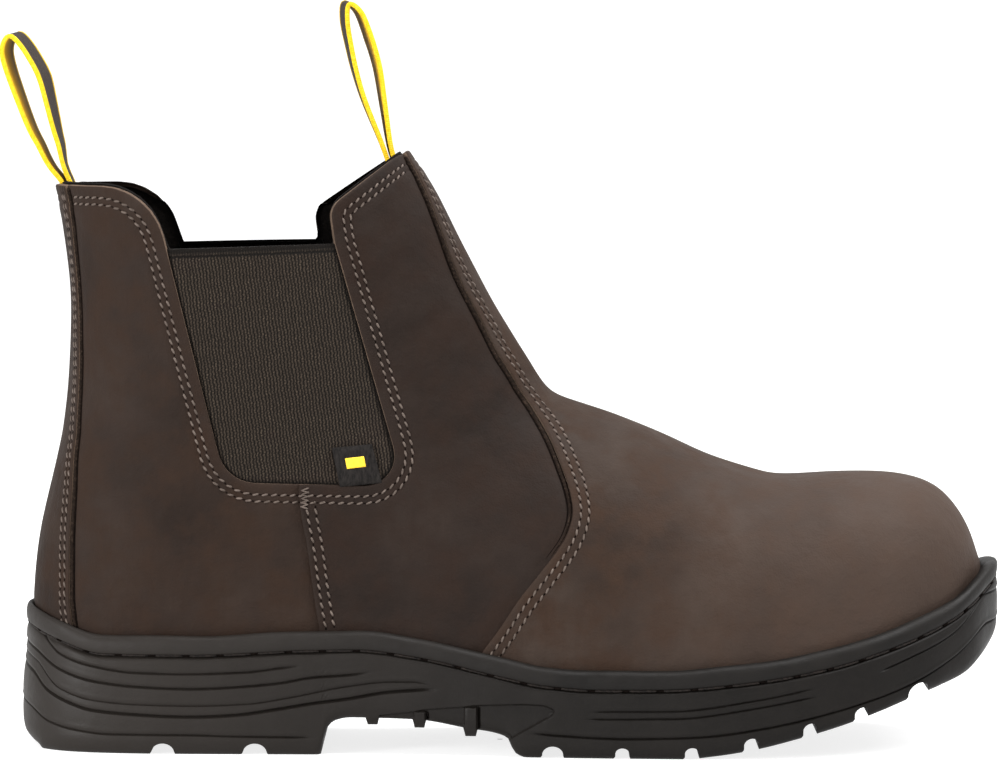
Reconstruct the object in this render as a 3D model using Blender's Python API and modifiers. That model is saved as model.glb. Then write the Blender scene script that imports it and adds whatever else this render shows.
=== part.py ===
"""Side gore work boot, one right boot, standing empty on its sole.

Frame: +X toe, -Y outer (lateral) side, +Z up, origin under the middle of the
bounding box.  Sizes below are millimetres and become metres in the meshes.
The upper is a loft through sections that fan from upright planes at the toe
to nearly level planes round the shaft.  The feather line where it meets the
welt gives the plan outline of welt, outsole and insole.
"""

import math

import bmesh
import bpy
import numpy as np

MM = 0.001

# ---------------------------------------------------------------- main sizes
WALL = 2.8                # leather and lining of the upper
GORE_WALL = 2.0           # elastic panel
GORE_RECESS = 0.5         # elastic lies this far below the leather face
GAP = 0.3                 # clearance between pieces that meet
WELT_HEIGHT = 5.0         # welt band, from the feather line down
WELT_CLEAR = 0.75         # welt from the leather, which is faceted
INSOLE_THICK = 3.0
LUG_DEPTH = 3.6
CHANNEL_WIDTH = 5.0       # channel along the middle of the tread
TAPE_WIDTH = 11.0         # pull loop webbing
LOOP_Y = -2.8             # middle of both loops
TAPE_THICK = 1.5
RINGS_PER_ROW = 1.5       # mesh density of the upper along the fan
HALF_RING = 14            # and points from crown to sole on each side
STATIONS = 34             # plan outline stations from heel to toe
CENTRE_Y = -1.8           # puts the middle of the width on the axis

# ------------------------------------------------------- sections of the last
# One row a section plane.  The plane runs from (bot_x, bot_z) under the foot
# or at the back of the heel to (top_x, top_z) on the crown, instep or shin.
# base_y and crown_y are its middle at those ends, half its half width, widest
# the fraction from bottom to top where that width is, n_top and n_bot the
# roundness above and below (2 is an ellipse, more is boxier).
SECTION_COLUMNS = ("top_x", "top_z", "bot_x", "bot_z", "base_y", "crown_y",
                   "half", "widest", "n_top", "n_bot")
SECTIONS = (
    (151.4, 55.0, 151.4, 36.0, 8.5, 8.5, 5.0, 0.60, 2.4, 3.2),
    (150.6, 57.0, 150.9, 35.8, 8.4, 8.5, 10.1, 0.55, 2.4, 3.6),
    (148.2, 63.6, 148.4, 34.3, 8.0, 8.4, 18.2, 0.50, 2.5, 4.2),
    (143.7, 72.2, 143.8, 31.5, 7.2, 8.0, 26.7, 0.47, 2.6, 5.0),
    (137.5, 78.9, 137.6, 27.5, 6.2, 7.6, 33.8, 0.44, 2.6, 5.0),
    (129.0, 82.4, 129.0, 23.5, 5.0, 7.0, 40.1, 0.43, 2.6, 5.0),
    (118.0, 83.8, 118.0, 19.5, 3.6, 6.4, 45.1, 0.42, 2.6, 5.0),
    (105.0, 83.7, 105.0, 15.5, 2.2, 6.0, 48.3, 0.41, 2.55, 5.0),
    (91.0, 83.2, 91.0, 12.1, 1.0, 5.6, 49.8, 0.40, 2.45, 5.0),
    (77.0, 85.7, 77.0, 10.3, 0.2, 5.2, 50.0, 0.39, 2.3, 5.0),
    (62.0, 91.0, 62.0, 8.7, -0.4, 4.8, 49.2, 0.38, 2.2, 5.0),
    (46.0, 98.3, 44.5, 8.1, -1.4, 4.2, 47.0, 0.37, 2.1, 5.0),
    (31.3, 104.0, 22.5, 8.0, -3.0, 3.4, 43.6, 0.36, 2.0, 5.0),
    (22.5, 106.9, -4.5, 10.0, -4.2, 2.4, 39.3, 0.37, 1.95, 5.0),
    (15.6, 110.2, -38.0, 15.0, -4.0, 1.4, 35.6, 0.39, 1.95, 5.0),
    (10.5, 117.4, -77.0, 16.0, -2.8, 0.4, 34.4, 0.42, 2.0, 5.0),
    (5.0, 125.8, -117.0, 17.0, -1.6, -0.4, 35.0, 0.45, 2.05, 4.4),
    (-0.5, 135.0, -141.5, 25.0, -1.0, -0.8, 35.9, 0.47, 2.1, 3.3),
    (-6.0, 144.8, -145.7, 45.5, -1.0, -1.0, 37.0, 0.48, 2.1, 2.6),
    (-11.5, 155.5, -143.0, 69.5, -1.0, -1.0, 38.2, 0.48, 2.1, 2.4),
    (-17.0, 166.3, -137.2, 94.5, -1.0, -1.0, 39.2, 0.48, 2.1, 2.3),
    (-22.4, 176.4, -134.3, 119.0, -1.0, -1.0, 39.8, 0.48, 2.1, 2.3),
    (-27.9, 184.2, -133.9, 141.0, -1.0, -1.0, 40.0, 0.48, 2.1, 2.3),
    (-33.5, 191.2, -136.2, 161.0, -1.0, -1.0, 40.0, 0.48, 2.1, 2.3),
    (-40.0, 198.0, -139.8, 181.0, -1.0, -1.0, 40.0, 0.48, 2.1, 2.3),
)

# Height of the feather line, where leather meets welt, along the boot.
FEATHER_COLUMNS = ("x", "z")
FEATHER = (
    (-150.0, 44.8), (-146.0, 43.4), (-137.0, 40.0), (-122.0, 35.9), (-95.0, 35.7),
    (-58.0, 37.3), (-44.0, 37.5), (-24.0, 35.1), (0.0, 29.8), (14.0, 27.1),
    (30.0, 26.1), (50.0, 26.3), (72.0, 28.1), (101.0, 32.9), (117.0, 37.4),
    (128.0, 41.2), (140.0, 46.4), (146.0, 50.2), (152.0, 54.8), (157.0, 58.0),
)

# Underside of the sole: heel, breast, arch, forefoot and toe spring.
GROUND_COLUMNS = ("x", "z")
GROUND = (
    (-160.0, 4.4), (-148.0, 2.9), (-143.4, 1.3), (-141.6, 0.0), (-55.2, 0.0), (-53.6, 7.4), (-50.6, 10.6), (-46.0, 11.5),
    (-26.0, 11.1), (-11.0, 8.8), (2.0, 6.2), (4.6, 1.4), (8.0, 0.0),
    (56.0, 0.0), (66.0, 1.0), (78.0, 3.0), (91.0, 6.2), (105.0, 10.2),
    (117.0, 14.3), (127.0, 18.0), (136.0, 21.0), (144.0, 24.0), (150.0, 28.5),
    (155.0, 34.0), (160.0, 40.0),
)

# How far the sole edge stands out from the leather.
EDGE_COLUMNS = ("x", "out")
EDGE = ((-152.0, 3.6), (-120.0, 3.2), (-60.0, 3.6), (0.0, 4.0), (60.0, 4.1),
        (120.0, 4.7), (152.0, 5.1), (160.0, 5.1))

# Side wall of the outsole, top to bottom: share of the height from underside
# to top, and how much the wall leans out (+) or in (-) from the sole edge.
SIDEWALL_COLUMNS = ("share", "lean")
SIDEWALL = ((1.00, -1.7), (0.93, -0.4), (0.62, 0.0), (0.22, 0.0), (0.08, -0.9), (0.0, -3.2))

# Cut-outs for the elastic, seen from the side, and the topline above them.
# rear/front are x at the collar and at the foot of the gore.
GORE_COLUMNS = ("rear_top", "front_top", "top_rear_z", "top_front_z", "rear_low",
                "front_low", "low_rear_z", "low_front_z", "rear_radius",
                "front_radius", "quarter_x", "quarter_z", "peak_x", "peak_z")
GORES = {
    "lateral": (-102.2, -50.3, 155.2, 157.1, -84.0, -29.2, 83.6, 82.3, 12.0, 9.0,
                -51.8, 168.2, -32.0, 183.4),
    "medial": (-101.6, -57.2, 155.2, 156.2, -84.0, -34.2, 83.6, 82.3, 12.0, 9.0,
               -58.6, 166.0, -35.0, 182.2),
}
REAR_TOPLINE = 174.3
REAR_RADIUS = 20.0
FRONT_PEAK = (-24.0, 186.6)

# Channels across the tread: front and rear x, in order from the heel.
CHANNEL_COLUMNS = ("rear", "front")
CHANNELS = ((-107.4, -102.2), (-79.2, -74.0), (14.4, 19.6), (34.6, 39.2),
            (55.8, 60.6), (74.4, 78.8), (92.4, 96.6), (108.6, 112.8), (125.2, 130.4))
# Ribs under the arch: rear and front x, and the height of the rib's foot.
RIB_COLUMNS = ("rear", "front", "foot")
RIBS = ((-40.8, -37.4, 9.4), (-26.4, -23.0, 8.6), (-10.8, -7.2, 6.2))

# Middle line of each pull loop's tape, from one end inside the collar, round
# the top and back to the other end.
LOOP_COLUMNS = ("x", "z")
BACK_LOOP = ((-130.2, 156.0), (-131.6, 166.0), (-132.9, 172.6), (-134.4, 175.6),
             (-137.2, 178.8), (-140.9, 182.9), (-145.3, 189.3), (-148.8, 197.1), (-152.0, 205.4),
             (-154.4, 212.6), (-154.6, 217.6), (-152.6, 220.4), (-149.8, 218.4),
             (-146.7, 213.9), (-144.0, 208.9), (-142.0, 202.8), (-140.3, 196.4),
             (-138.8, 191.0), (-136.9, 185.7), (-134.0, 180.1), (-131.5, 175.0),
             (-130.0, 169.0), (-129.1, 164.0), (-127.8, 156.0))
FRONT_LOOP = ((-24.8, 168.4), (-28.4, 174.2), (-32.0, 180.2), (-33.5, 184.6),
              (-34.4, 189.6), (-35.2, 195.9), (-36.1, 203.0), (-37.1, 210.2),
              (-38.9, 217.4), (-41.4, 224.6), (-44.2, 229.2), (-46.4, 230.4),
              (-47.3, 226.6), (-46.5, 219.5), (-45.0, 211.7), (-41.8, 200.2),
              (-38.3, 191.2), (-36.1, 185.4), (-34.4, 180.6), (-31.1, 174.2),
              (-27.3, 168.4))


# ------------------------------------------------------------------- helpers
def column(table, names, name):
    return np.array([row[names.index(name)] for row in table], float)


def monotone(xs, ys, x):
    """Monotone cubic through the rows: no overshoot between them."""
    x = np.clip(np.asarray(x, float), xs[0], xs[-1])
    h = np.diff(xs)
    d = np.diff(ys) / h
    m = np.zeros(len(xs))
    m[0], m[-1] = d[0], d[-1]
    for i in range(1, len(xs) - 1):
        if d[i - 1] * d[i] > 0:
            w1, w2 = 2 * h[i] + h[i - 1], h[i] + 2 * h[i - 1]
            m[i] = (w1 + w2) / (w1 / d[i - 1] + w2 / d[i])
    i = np.clip(np.searchsorted(xs, x) - 1, 0, len(h) - 1)
    t = (x - xs[i]) / h[i]
    return ((2 * t**3 - 3 * t**2 + 1) * ys[i] + (t**3 - 2 * t**2 + t) * h[i] * m[i]
            + (3 * t**2 - 2 * t**3) * ys[i + 1] + (t**3 - t**2) * h[i] * m[i + 1])


def spline(us, vs, u):
    """Natural cubic spline, smooth in curvature."""
    n = len(us)
    h = np.diff(us)
    a, b = np.eye(n), np.zeros(n)
    for i in range(1, n - 1):
        a[i, i - 1:i + 2] = h[i - 1], 2 * (h[i - 1] + h[i]), h[i]
        b[i] = 6 * ((vs[i + 1] - vs[i]) / h[i] - (vs[i] - vs[i - 1]) / h[i - 1])
    m = np.linalg.solve(a, b)
    u = np.asarray(u, float)
    i = np.clip(np.searchsorted(us, u) - 1, 0, n - 2)
    p, q = us[i + 1] - u, u - us[i]
    return (m[i] * p**3 + m[i + 1] * q**3) / (6 * h[i]) \
        + (vs[i] / h[i] - m[i] * h[i] / 6) * p + (vs[i + 1] / h[i] - m[i + 1] * h[i] / 6) * q


def feather(x):
    return monotone(column(FEATHER, FEATHER_COLUMNS, "x"), column(FEATHER, FEATHER_COLUMNS, "z"), x)


def ground(x):
    return monotone(column(GROUND, GROUND_COLUMNS, "x"), column(GROUND, GROUND_COLUMNS, "z"), x)


def edge_out(x):
    return monotone(column(EDGE, EDGE_COLUMNS, "x"), column(EDGE, EDGE_COLUMNS, "out"), x)


def section_lengths():
    t = np.stack([column(SECTIONS, SECTION_COLUMNS, c) for c in ("top_x", "top_z", "bot_x", "bot_z")], 1)
    step = np.diff(t, axis=0)
    return np.concatenate([[0], np.cumsum(np.hypot(step[:, 0], step[:, 1]) * 0.5
                                          + np.hypot(step[:, 2], step[:, 3]) * 0.5)])


def last_surface(where, half_ring):
    """Rings of the upper's outer face: (len(where), 2 * half_ring, 3) in mm.

    where counts section rows.  Each ring starts on the crown, runs down the
    lateral side to the sole and back up the medial side, evenly spaced.
    """
    lengths = section_lengths()
    u = np.interp(where, np.arange(len(SECTIONS)), lengths)
    c = {name: spline(lengths, column(SECTIONS, SECTION_COLUMNS, name), u) for name in SECTION_COLUMNS}
    angle = np.linspace(0, math.pi, 181)
    upper = angle <= math.pi / 2
    cos, sin = np.abs(np.cos(angle)), np.abs(np.sin(angle))
    rings = []
    for k in range(len(u)):
        n = np.where(upper, c["n_top"][k], c["n_bot"][k])
        w = c["widest"][k]
        t = np.where(upper, w + (1 - w) * cos**(2 / n), w - w * cos**(2 / n))
        width = np.maximum(c["half"][k], 1.0) * sin**(2 / n)
        mid = c["base_y"][k] + (c["crown_y"][k] - c["base_y"][k]) * t + CENTRE_Y
        x = c["bot_x"][k] + (c["top_x"][k] - c["bot_x"][k]) * t
        z = c["bot_z"][k] + (c["top_z"][k] - c["bot_z"][k]) * t
        sides = []
        for sign in (-1, 1):
            p = np.stack([x, mid + sign * width, z], 1)
            run = np.concatenate([[0], np.cumsum(np.linalg.norm(np.diff(p, axis=0), axis=1))])
            even = np.linspace(0, run[-1], half_ring + 1)
            sides.append(np.stack([np.interp(even, run, p[:, a]) for a in range(3)], 1))
        rings.append(np.concatenate([sides[0], sides[1][-2:0:-1]]))
    return np.array(rings)


def feather_outline(drop=0.0):
    """Plan outline of the upper at the feather line, heel to toe: lateral and medial points."""
    where = np.concatenate([np.linspace(0, 2, 30), np.linspace(2.05, 16, 120), np.linspace(16.02, 18.5, 240)])
    rings = last_surface(where, 90)
    found = ([], [])
    for ring in rings:
        for side in range(2):
            run = ring[:91] if side == 0 else np.concatenate([ring[:1], ring[:89:-1]])
            g = run[:, 2] - (feather(run[:, 0]) - drop)
            cross = np.nonzero((g[:-1] > 0) & (g[1:] <= 0))[0]
            if len(cross):
                i = cross[0]
                t = g[i] / (g[i] - g[i + 1])
                found[side].append(run[i, :2] + t * (run[i + 1, :2] - run[i, :2]))
    lateral, medial = (np.array(f[::-1]) for f in found)
    return lateral, medial


def plan(out, stations=STATIONS, of=None):
    """The outline moved outwards by out(x), at even stations: x, lateral y, medial y."""
    lateral, medial = of
    loop = np.concatenate([lateral, medial[::-1]])
    keep = np.concatenate([[True], np.linalg.norm(np.diff(loop, axis=0), axis=1) > 0.05])
    loop = loop[keep]
    run = np.concatenate([[0], np.cumsum(np.linalg.norm(np.diff(loop, axis=0, append=loop[:1]), axis=1))])
    even = np.linspace(0, run[-1], 721)[:-1]
    closed = np.concatenate([loop, loop[:1]])
    p = np.stack([np.interp(even, run, closed[:, a]) for a in range(2)], 1)
    for _ in range(12):
        p = 0.5 * p + 0.25 * (np.roll(p, 1, 0) + np.roll(p, -1, 0))
    tangent = np.roll(p, -2, 0) - np.roll(p, 2, 0)
    tangent /= np.linalg.norm(tangent, axis=1)[:, None]
    normal = np.stack([tangent[:, 1], -tangent[:, 0]], 1)
    if (normal[:, 0] * (p[:, 0] - p[:, 0].mean())).sum() < 0:
        normal = -normal
    q = p + normal * np.asarray(out(p[:, 0]))[:, None]
    heel, toe = int(np.argmin(q[:, 0])), int(np.argmax(q[:, 0]))
    q = np.roll(q, -heel, 0)
    toe = (toe - heel) % len(q)
    one, two = q[:toe + 1], np.concatenate([q[toe:], q[:1]])[::-1]
    if one[:, 1].mean() > two[:, 1].mean():
        one, two = two, one
    x = one[0, 0] + (one[-1, 0] - one[0, 0]) * (1 - np.cos(np.linspace(0, math.pi, stations + 1))) / 2
    ys = []
    for half in (one, two):
        rising = np.maximum.accumulate(half[:, 0])
        ys.append(np.interp(x, rising, half[:, 1]))
    ys[1][0], ys[1][-1] = ys[0][0], ys[0][-1]
    return x, ys[0], ys[1]


def corner(before, at, after, radius, steps=6):
    """Points of a rounded corner."""
    a, p, b = (np.array(v, float) for v in (before, at, after))
    u, v = (a - p) / np.linalg.norm(a - p), (b - p) / np.linalg.norm(b - p)
    half = math.acos(max(-1, min(1, float(u @ v)))) / 2
    reach = radius / math.tan(half)
    centre = p + (u + v) / np.linalg.norm(u + v) * radius / math.sin(half)
    start, end = p + u * reach - centre, p + v * reach - centre
    turn = math.atan2(start[0] * end[1] - start[1] * end[0], float(start @ end))
    return [tuple(centre + np.array((math.cos(turn * k / steps) * start[0] - math.sin(turn * k / steps) * start[1],
                                     math.sin(turn * k / steps) * start[0] + math.cos(turn * k / steps) * start[1])))
            for k in range(steps + 1)]


def gore_outline(side, shrink=0.0):
    """U shape of one elastic panel from rear top round the foot to front top, in (x, z)."""
    g = dict(zip(GORE_COLUMNS, GORES[side]))
    rear_top = (g["rear_top"] + shrink, g["top_rear_z"])
    front_top = (g["front_top"] - shrink, g["top_front_z"])
    rear_low = (g["rear_low"] + shrink, g["low_rear_z"] + shrink)
    front_low = (g["front_low"] - shrink, g["low_front_z"] + shrink)
    return ([rear_top] + corner(rear_top, rear_low, front_low, g["rear_radius"] - shrink)
            + corner(rear_low, front_low, front_top, g["front_radius"] - shrink) + [front_top])


def collar_outline(side):
    """Everything cut away above the topline and inside the gore, in (x, z)."""
    g = dict(zip(GORE_COLUMNS, GORES[side]))
    u = gore_outline(side)
    lean = (g["rear_low"] - g["rear_top"]) / (g["top_rear_z"] - g["low_rear_z"])
    rear_corner = (g["rear_top"] - lean * (REAR_TOPLINE - g["top_rear_z"]), REAR_TOPLINE)
    rear = corner((-170.0, REAR_TOPLINE), rear_corner, u[0], REAR_RADIUS)
    quarter = (g["quarter_x"], g["quarter_z"])
    front = corner(u[-1], quarter, (g["peak_x"], g["peak_z"]), 6.0, 4)
    return ([(-170.0, 240.0), (-170.0, REAR_TOPLINE)] + rear + u[1:] + front
            + [(g["peak_x"], g["peak_z"]), FRONT_PEAK, (10.0, FRONT_PEAK[1]), (10.0, 240.0)])


# ----------------------------------------------------------- meshes and nodes
def clear_scene():
    for thing in list(bpy.data.objects):
        bpy.data.objects.remove(thing, do_unlink=True)


def new_collection(name):
    made = bpy.data.collections.new(name)
    bpy.context.scene.collection.children.link(made)
    return made


def material(name, colour, roughness):
    made = bpy.data.materials.new(name)
    made.use_nodes = True
    bsdf = next(n for n in made.node_tree.nodes if n.type == "BSDF_PRINCIPLED")
    bsdf.inputs["Base Color"].default_value = (*colour, 1.0)
    bsdf.inputs["Roughness"].default_value = roughness
    bsdf.inputs["Metallic"].default_value = 0.0
    made.diffuse_color = (*colour, 1.0)
    return made


def mesh_object(name, points_mm, faces, into, look=None):
    mesh = bpy.data.meshes.new(name)
    mesh.from_pydata([tuple(float(v) * MM for v in p) for p in points_mm], [], faces)
    mesh.validate()
    bm = bmesh.new()
    bm.from_mesh(mesh)
    bmesh.ops.recalc_face_normals(bm, faces=bm.faces)
    if all(e.is_manifold for e in bm.edges) and bm.calc_volume(signed=True) < 0:
        bmesh.ops.reverse_faces(bm, faces=bm.faces)
    bm.to_mesh(mesh)
    bm.free()
    obj = bpy.data.objects.new(name, mesh)
    into.objects.link(obj)
    if look is not None:
        mesh.materials.append(look)
    return obj


def cutter(name, points_mm, faces):
    obj = mesh_object(name, points_mm, faces, CUTTERS)
    obj.hide_render = True
    obj.display_type = "WIRE"
    return obj


def prism(name, outline, y0, y1):
    """Side-view outline drawn through from y0 to y1."""
    n = len(outline)
    points = [(x, y0, z) for x, z in outline] + [(x, y1, z) for x, z in outline]
    faces = [tuple(range(n)), tuple(range(2 * n - 1, n - 1, -1))]
    faces += [(i, n + i, n + (i + 1) % n, (i + 1) % n) for i in range(n)]
    return cutter(name, points, faces)


def slab(name, xs, half, tops, floor, middle=0.0):
    """Long cutter along the boot whose top follows the given heights."""
    points, faces = [], []
    for x, z in zip(xs, tops):
        points += [(x, middle - half, floor), (x, middle + half, floor), (x, middle + half, z), (x, middle - half, z)]
    for i in range(len(xs) - 1):
        a, b = 4 * i, 4 * i + 4
        faces += [(a + k, a + (k + 1) % 4, b + (k + 1) % 4, b + k) for k in range(4)]
    e = 4 * len(xs) - 4
    faces += [(0, 1, 2, 3), (e, e + 1, e + 2, e + 3)]
    return cutter(name, points, faces)


def boolean(obj, other, operation):
    m = obj.modifiers.new(operation.title() + " " + other.name, "BOOLEAN")
    m.operation = operation
    m.object = other
    m.solver = "EXACT"


def shell(name, rings, wall, look):
    """The lofted surface, open at the shaft and closed at the toe, with its wall inwards."""
    n, m = rings.shape[:2]
    points = [tuple(p) for ring in rings for p in ring]
    tip = len(points)
    points.append(tuple(rings[0].mean(axis=0)))
    faces = [(i * m + j, i * m + (j + 1) % m, (i + 1) * m + (j + 1) % m, (i + 1) * m + j)
             for i in range(n - 1) for j in range(m)]
    faces += [(tip, (j + 1) % m, j) for j in range(m)]
    obj = mesh_object(name, points, faces, PARTS, look)
    mesh = obj.data
    middle = np.array([-60.0, 0.0, 80.0]) * MM
    outward = sum(float(np.dot(np.array(f.normal), np.array(f.center) - middle)) * f.area for f in mesh.polygons)
    if outward < 0:
        mesh.flip_normals()
    mesh.shade_smooth()
    thick = obj.modifiers.new("Wall", "SOLIDIFY")
    thick.thickness = wall * MM
    thick.offset = -1.0
    thick.use_even_offset = True
    return obj


def layered(name, levels, look):
    """Closed solid through plan outlines stacked from top to bottom."""
    points, faces = [], []
    n = len(levels[0][0]) - 1
    ring = 2 * n
    for x, lateral, medial, z in levels:
        points += [(x[i], lateral[i], z[i]) for i in range(n + 1)]
        points += [(x[i], medial[i], z[i]) for i in range(n - 1, 0, -1)]
    for k in range(len(levels) - 1):
        a, b = k * ring, (k + 1) * ring
        faces += [(a + j, a + (j + 1) % ring, b + (j + 1) % ring, b + j) for j in range(ring)]
    for a in (0, (len(levels) - 1) * ring):
        faces.append((a, a + 1, a + ring - 1))
        faces += [(a + i, a + i + 1, a + ring - i - 1, a + ring - i) for i in range(1, n - 1)]
        faces.append((a + n - 1, a + n, a + n + 1))
    obj = mesh_object(name, points, faces, PARTS, look)
    obj.data.shade_smooth()
    obj.data.set_sharp_from_angle(angle=math.radians(35))
    return obj


def ring_solid(name, levels, look):
    """Closed band through plan outlines taken round its own section."""
    points, faces = [], []
    n = len(levels[0][0]) - 1
    ring, count = 2 * n, len(levels)
    for x, lateral, medial, z in levels:
        points += [(x[i], lateral[i], z[i]) for i in range(n + 1)]
        points += [(x[i], medial[i], z[i]) for i in range(n - 1, 0, -1)]
    for k in range(count):
        a, b = k * ring, (k + 1) % count * ring
        faces += [(a + j, a + (j + 1) % ring, b + (j + 1) % ring, b + j) for j in range(ring)]
    obj = mesh_object(name, points, faces, PARTS, look)
    obj.data.shade_smooth()
    obj.data.set_sharp_from_angle(angle=math.radians(40))
    return obj


def tape(name, path, look, steps=34):
    """Webbing on its edge: a strip along the path, given its thickness."""
    p = np.array(path)
    run = np.concatenate([[0], np.cumsum(np.linalg.norm(np.diff(p, axis=0), axis=1))])
    u = np.linspace(0, run[-1], steps)
    x, z = spline(run, p[:, 0], u), spline(run, p[:, 1], u)
    points = [(x[i], y, z[i]) for i in range(steps) for y in (LOOP_Y - TAPE_WIDTH / 2, LOOP_Y + TAPE_WIDTH / 2)]
    faces = [(2 * i, 2 * i + 1, 2 * i + 3, 2 * i + 2) for i in range(steps - 1)]
    obj = mesh_object(name, points, faces, PARTS, look)
    obj.data.shade_smooth()
    thick = obj.modifiers.new("Thickness", "SOLIDIFY")
    thick.thickness = TAPE_THICK * MM
    thick.offset = 0.0
    thick.use_even_offset = True
    return obj


# --------------------------------------------------------------- the pieces
clear_scene()
PARTS = new_collection("side_gore_work_boot")
CUTTERS = new_collection("cutters")

LEATHER = material("brown nubuck leather", (0.062, 0.047, 0.039), 0.75)
ELASTIC = material("brown elastic", (0.040, 0.030, 0.024), 0.9)
RUBBER = material("black rubber", (0.028, 0.026, 0.025), 0.55)
WEBBING = material("yellow and grey webbing", (0.75, 0.50, 0.03), 0.8)
FOOTBED = material("black insole cloth", (0.020, 0.019, 0.018), 0.9)

ROWS = np.linspace(0, len(SECTIONS) - 1, int(RINGS_PER_ROW * (len(SECTIONS) - 1)) + 1)
OUTER = last_surface(ROWS, HALF_RING)


def below_feather(name, drop, x0=-175.0, x1=175.0):
    xs = np.linspace(x0, x1, 48)
    return slab(name, xs, 90.0, feather(xs) - drop, -30.0)


# upper: shell, open at the collar, at both gores and underneath
upper = shell("upper", OUTER, WALL, LEATHER)
boolean(upper, below_feather("under_upper", WELT_HEIGHT - 0.2), "DIFFERENCE")
boolean(upper, prism("collar_lateral", collar_outline("lateral"), -90.0, LOOP_Y + 0.01), "DIFFERENCE")
boolean(upper, prism("collar_medial", collar_outline("medial"), LOOP_Y - 0.01, 90.0), "DIFFERENCE")


def inward(rings, depth):
    """The same rings moved in along the surface's normals."""
    along = np.gradient(rings, axis=0)
    around = np.roll(rings, -1, 1) - np.roll(rings, 1, 1)
    normal = np.cross(around, along)
    normal /= np.maximum(np.linalg.norm(normal, axis=2), 1e-9)[:, :, None]
    outward = rings - rings.mean(axis=1, keepdims=True)
    normal *= np.sign((normal * outward).sum(axis=2))[:, :, None]
    return rings - normal * depth


# gores: the same surface, a little lower, inside each cut-out
for side, y0, y1 in (("lateral", -90.0, -8.0), ("medial", 6.0, 90.0)):
    panel = shell("gore_" + side, inward(OUTER[14:], GORE_RECESS), GORE_WALL, ELASTIC)
    boolean(panel, prism("inside_gore_" + side, gore_outline(side, GAP), y0, y1), "INTERSECT")

# welt, outsole and insole share the upper's feather outline
TOP_LINE = feather_outline()


def level(out, height):
    x, lateral, medial = plan(out, of=TOP_LINE)
    return x, lateral, medial, height(x)


ring_solid("welt", [
    level(lambda x: 0 * x + WELT_CLEAR, lambda x: feather(x) - 0.2),
    level(lambda x: edge_out(x) - 1.6, lambda x: feather(x) + 0.0),
    level(lambda x: edge_out(x) - 0.3, lambda x: feather(x) - 1.4),
    level(lambda x: edge_out(x) - 0.1, lambda x: feather(x) - 2.8),
    level(lambda x: edge_out(x) - 0.9, lambda x: feather(x) - WELT_HEIGHT),
    level(lambda x: 0 * x + WELT_CLEAR, lambda x: feather(x) - WELT_HEIGHT),
], RUBBER)

outsole = layered("outsole", [
    level(lambda x, lean=lean: edge_out(x) + lean,
          lambda x, share=share: ground(x) + share * (feather(x) - WELT_HEIGHT - GAP - ground(x)))
    for share, lean in SIDEWALL
], RUBBER)
for k, (rear, front, foot) in enumerate(RIBS):
    xs = np.array([rear, front])
    block = slab("rib_%d" % (k + 1), xs, 30.0, np.array([20.0, 20.0]), foot, middle=-3.0)
    boolean(outsole, block, "UNION")
for k, (rear, front) in enumerate(CHANNELS):
    xs = np.array([rear, front])
    boolean(outsole, slab("channel_%d" % (k + 1), xs, 80.0, ground(xs) + LUG_DEPTH, -20.0), "DIFFERENCE")
for name, x0, x1, mid in (("heel_channel", -170.0, -40.0, -1.5), ("forefoot_channel", -2.0, 170.0, 2.5)):
    xs = np.linspace(x0, x1, 14)
    boolean(outsole, slab(name, xs, CHANNEL_WIDTH / 2, ground(xs) + LUG_DEPTH - 0.6, -20.0, middle=mid), "DIFFERENCE")

layered("insole", [
    level(lambda x: 0 * x - WALL - 1.4, lambda x: feather(x) - WELT_HEIGHT + INSOLE_THICK + 0.2),
    level(lambda x: 0 * x - WALL - 2.2, lambda x: feather(x) - WELT_HEIGHT + 0.2),
], FOOTBED)

tape("pull_loop_back", BACK_LOOP, WEBBING)
tape("pull_loop_front", FRONT_LOOP, WEBBING)
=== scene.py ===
import math

import bpy
import numpy as np
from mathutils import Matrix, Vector
from mathutils.bvhtree import BVHTree


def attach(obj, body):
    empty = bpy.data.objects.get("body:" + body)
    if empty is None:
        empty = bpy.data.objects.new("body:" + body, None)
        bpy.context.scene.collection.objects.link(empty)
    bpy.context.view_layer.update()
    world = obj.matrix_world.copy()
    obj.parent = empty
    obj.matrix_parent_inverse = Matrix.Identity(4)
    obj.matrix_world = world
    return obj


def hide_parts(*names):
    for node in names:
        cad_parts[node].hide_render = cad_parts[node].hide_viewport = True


# Looks of a side gore work boot, right foot, seen from its outer side.
# Frame: +X toe, -Y outer (lateral) side, +Z up.  Sizes are millimetres and
# become metres in the meshes.  The sections, the feather line and the cut-outs
# are the CAD part's own, so every piece lies where its solid is.

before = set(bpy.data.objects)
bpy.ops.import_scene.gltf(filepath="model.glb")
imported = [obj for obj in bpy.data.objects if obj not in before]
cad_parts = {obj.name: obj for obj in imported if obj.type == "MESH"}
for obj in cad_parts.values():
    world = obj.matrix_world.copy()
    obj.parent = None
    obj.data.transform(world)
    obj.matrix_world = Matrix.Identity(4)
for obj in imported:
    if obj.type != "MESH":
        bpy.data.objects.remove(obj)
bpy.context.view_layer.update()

MM = 0.001

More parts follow.
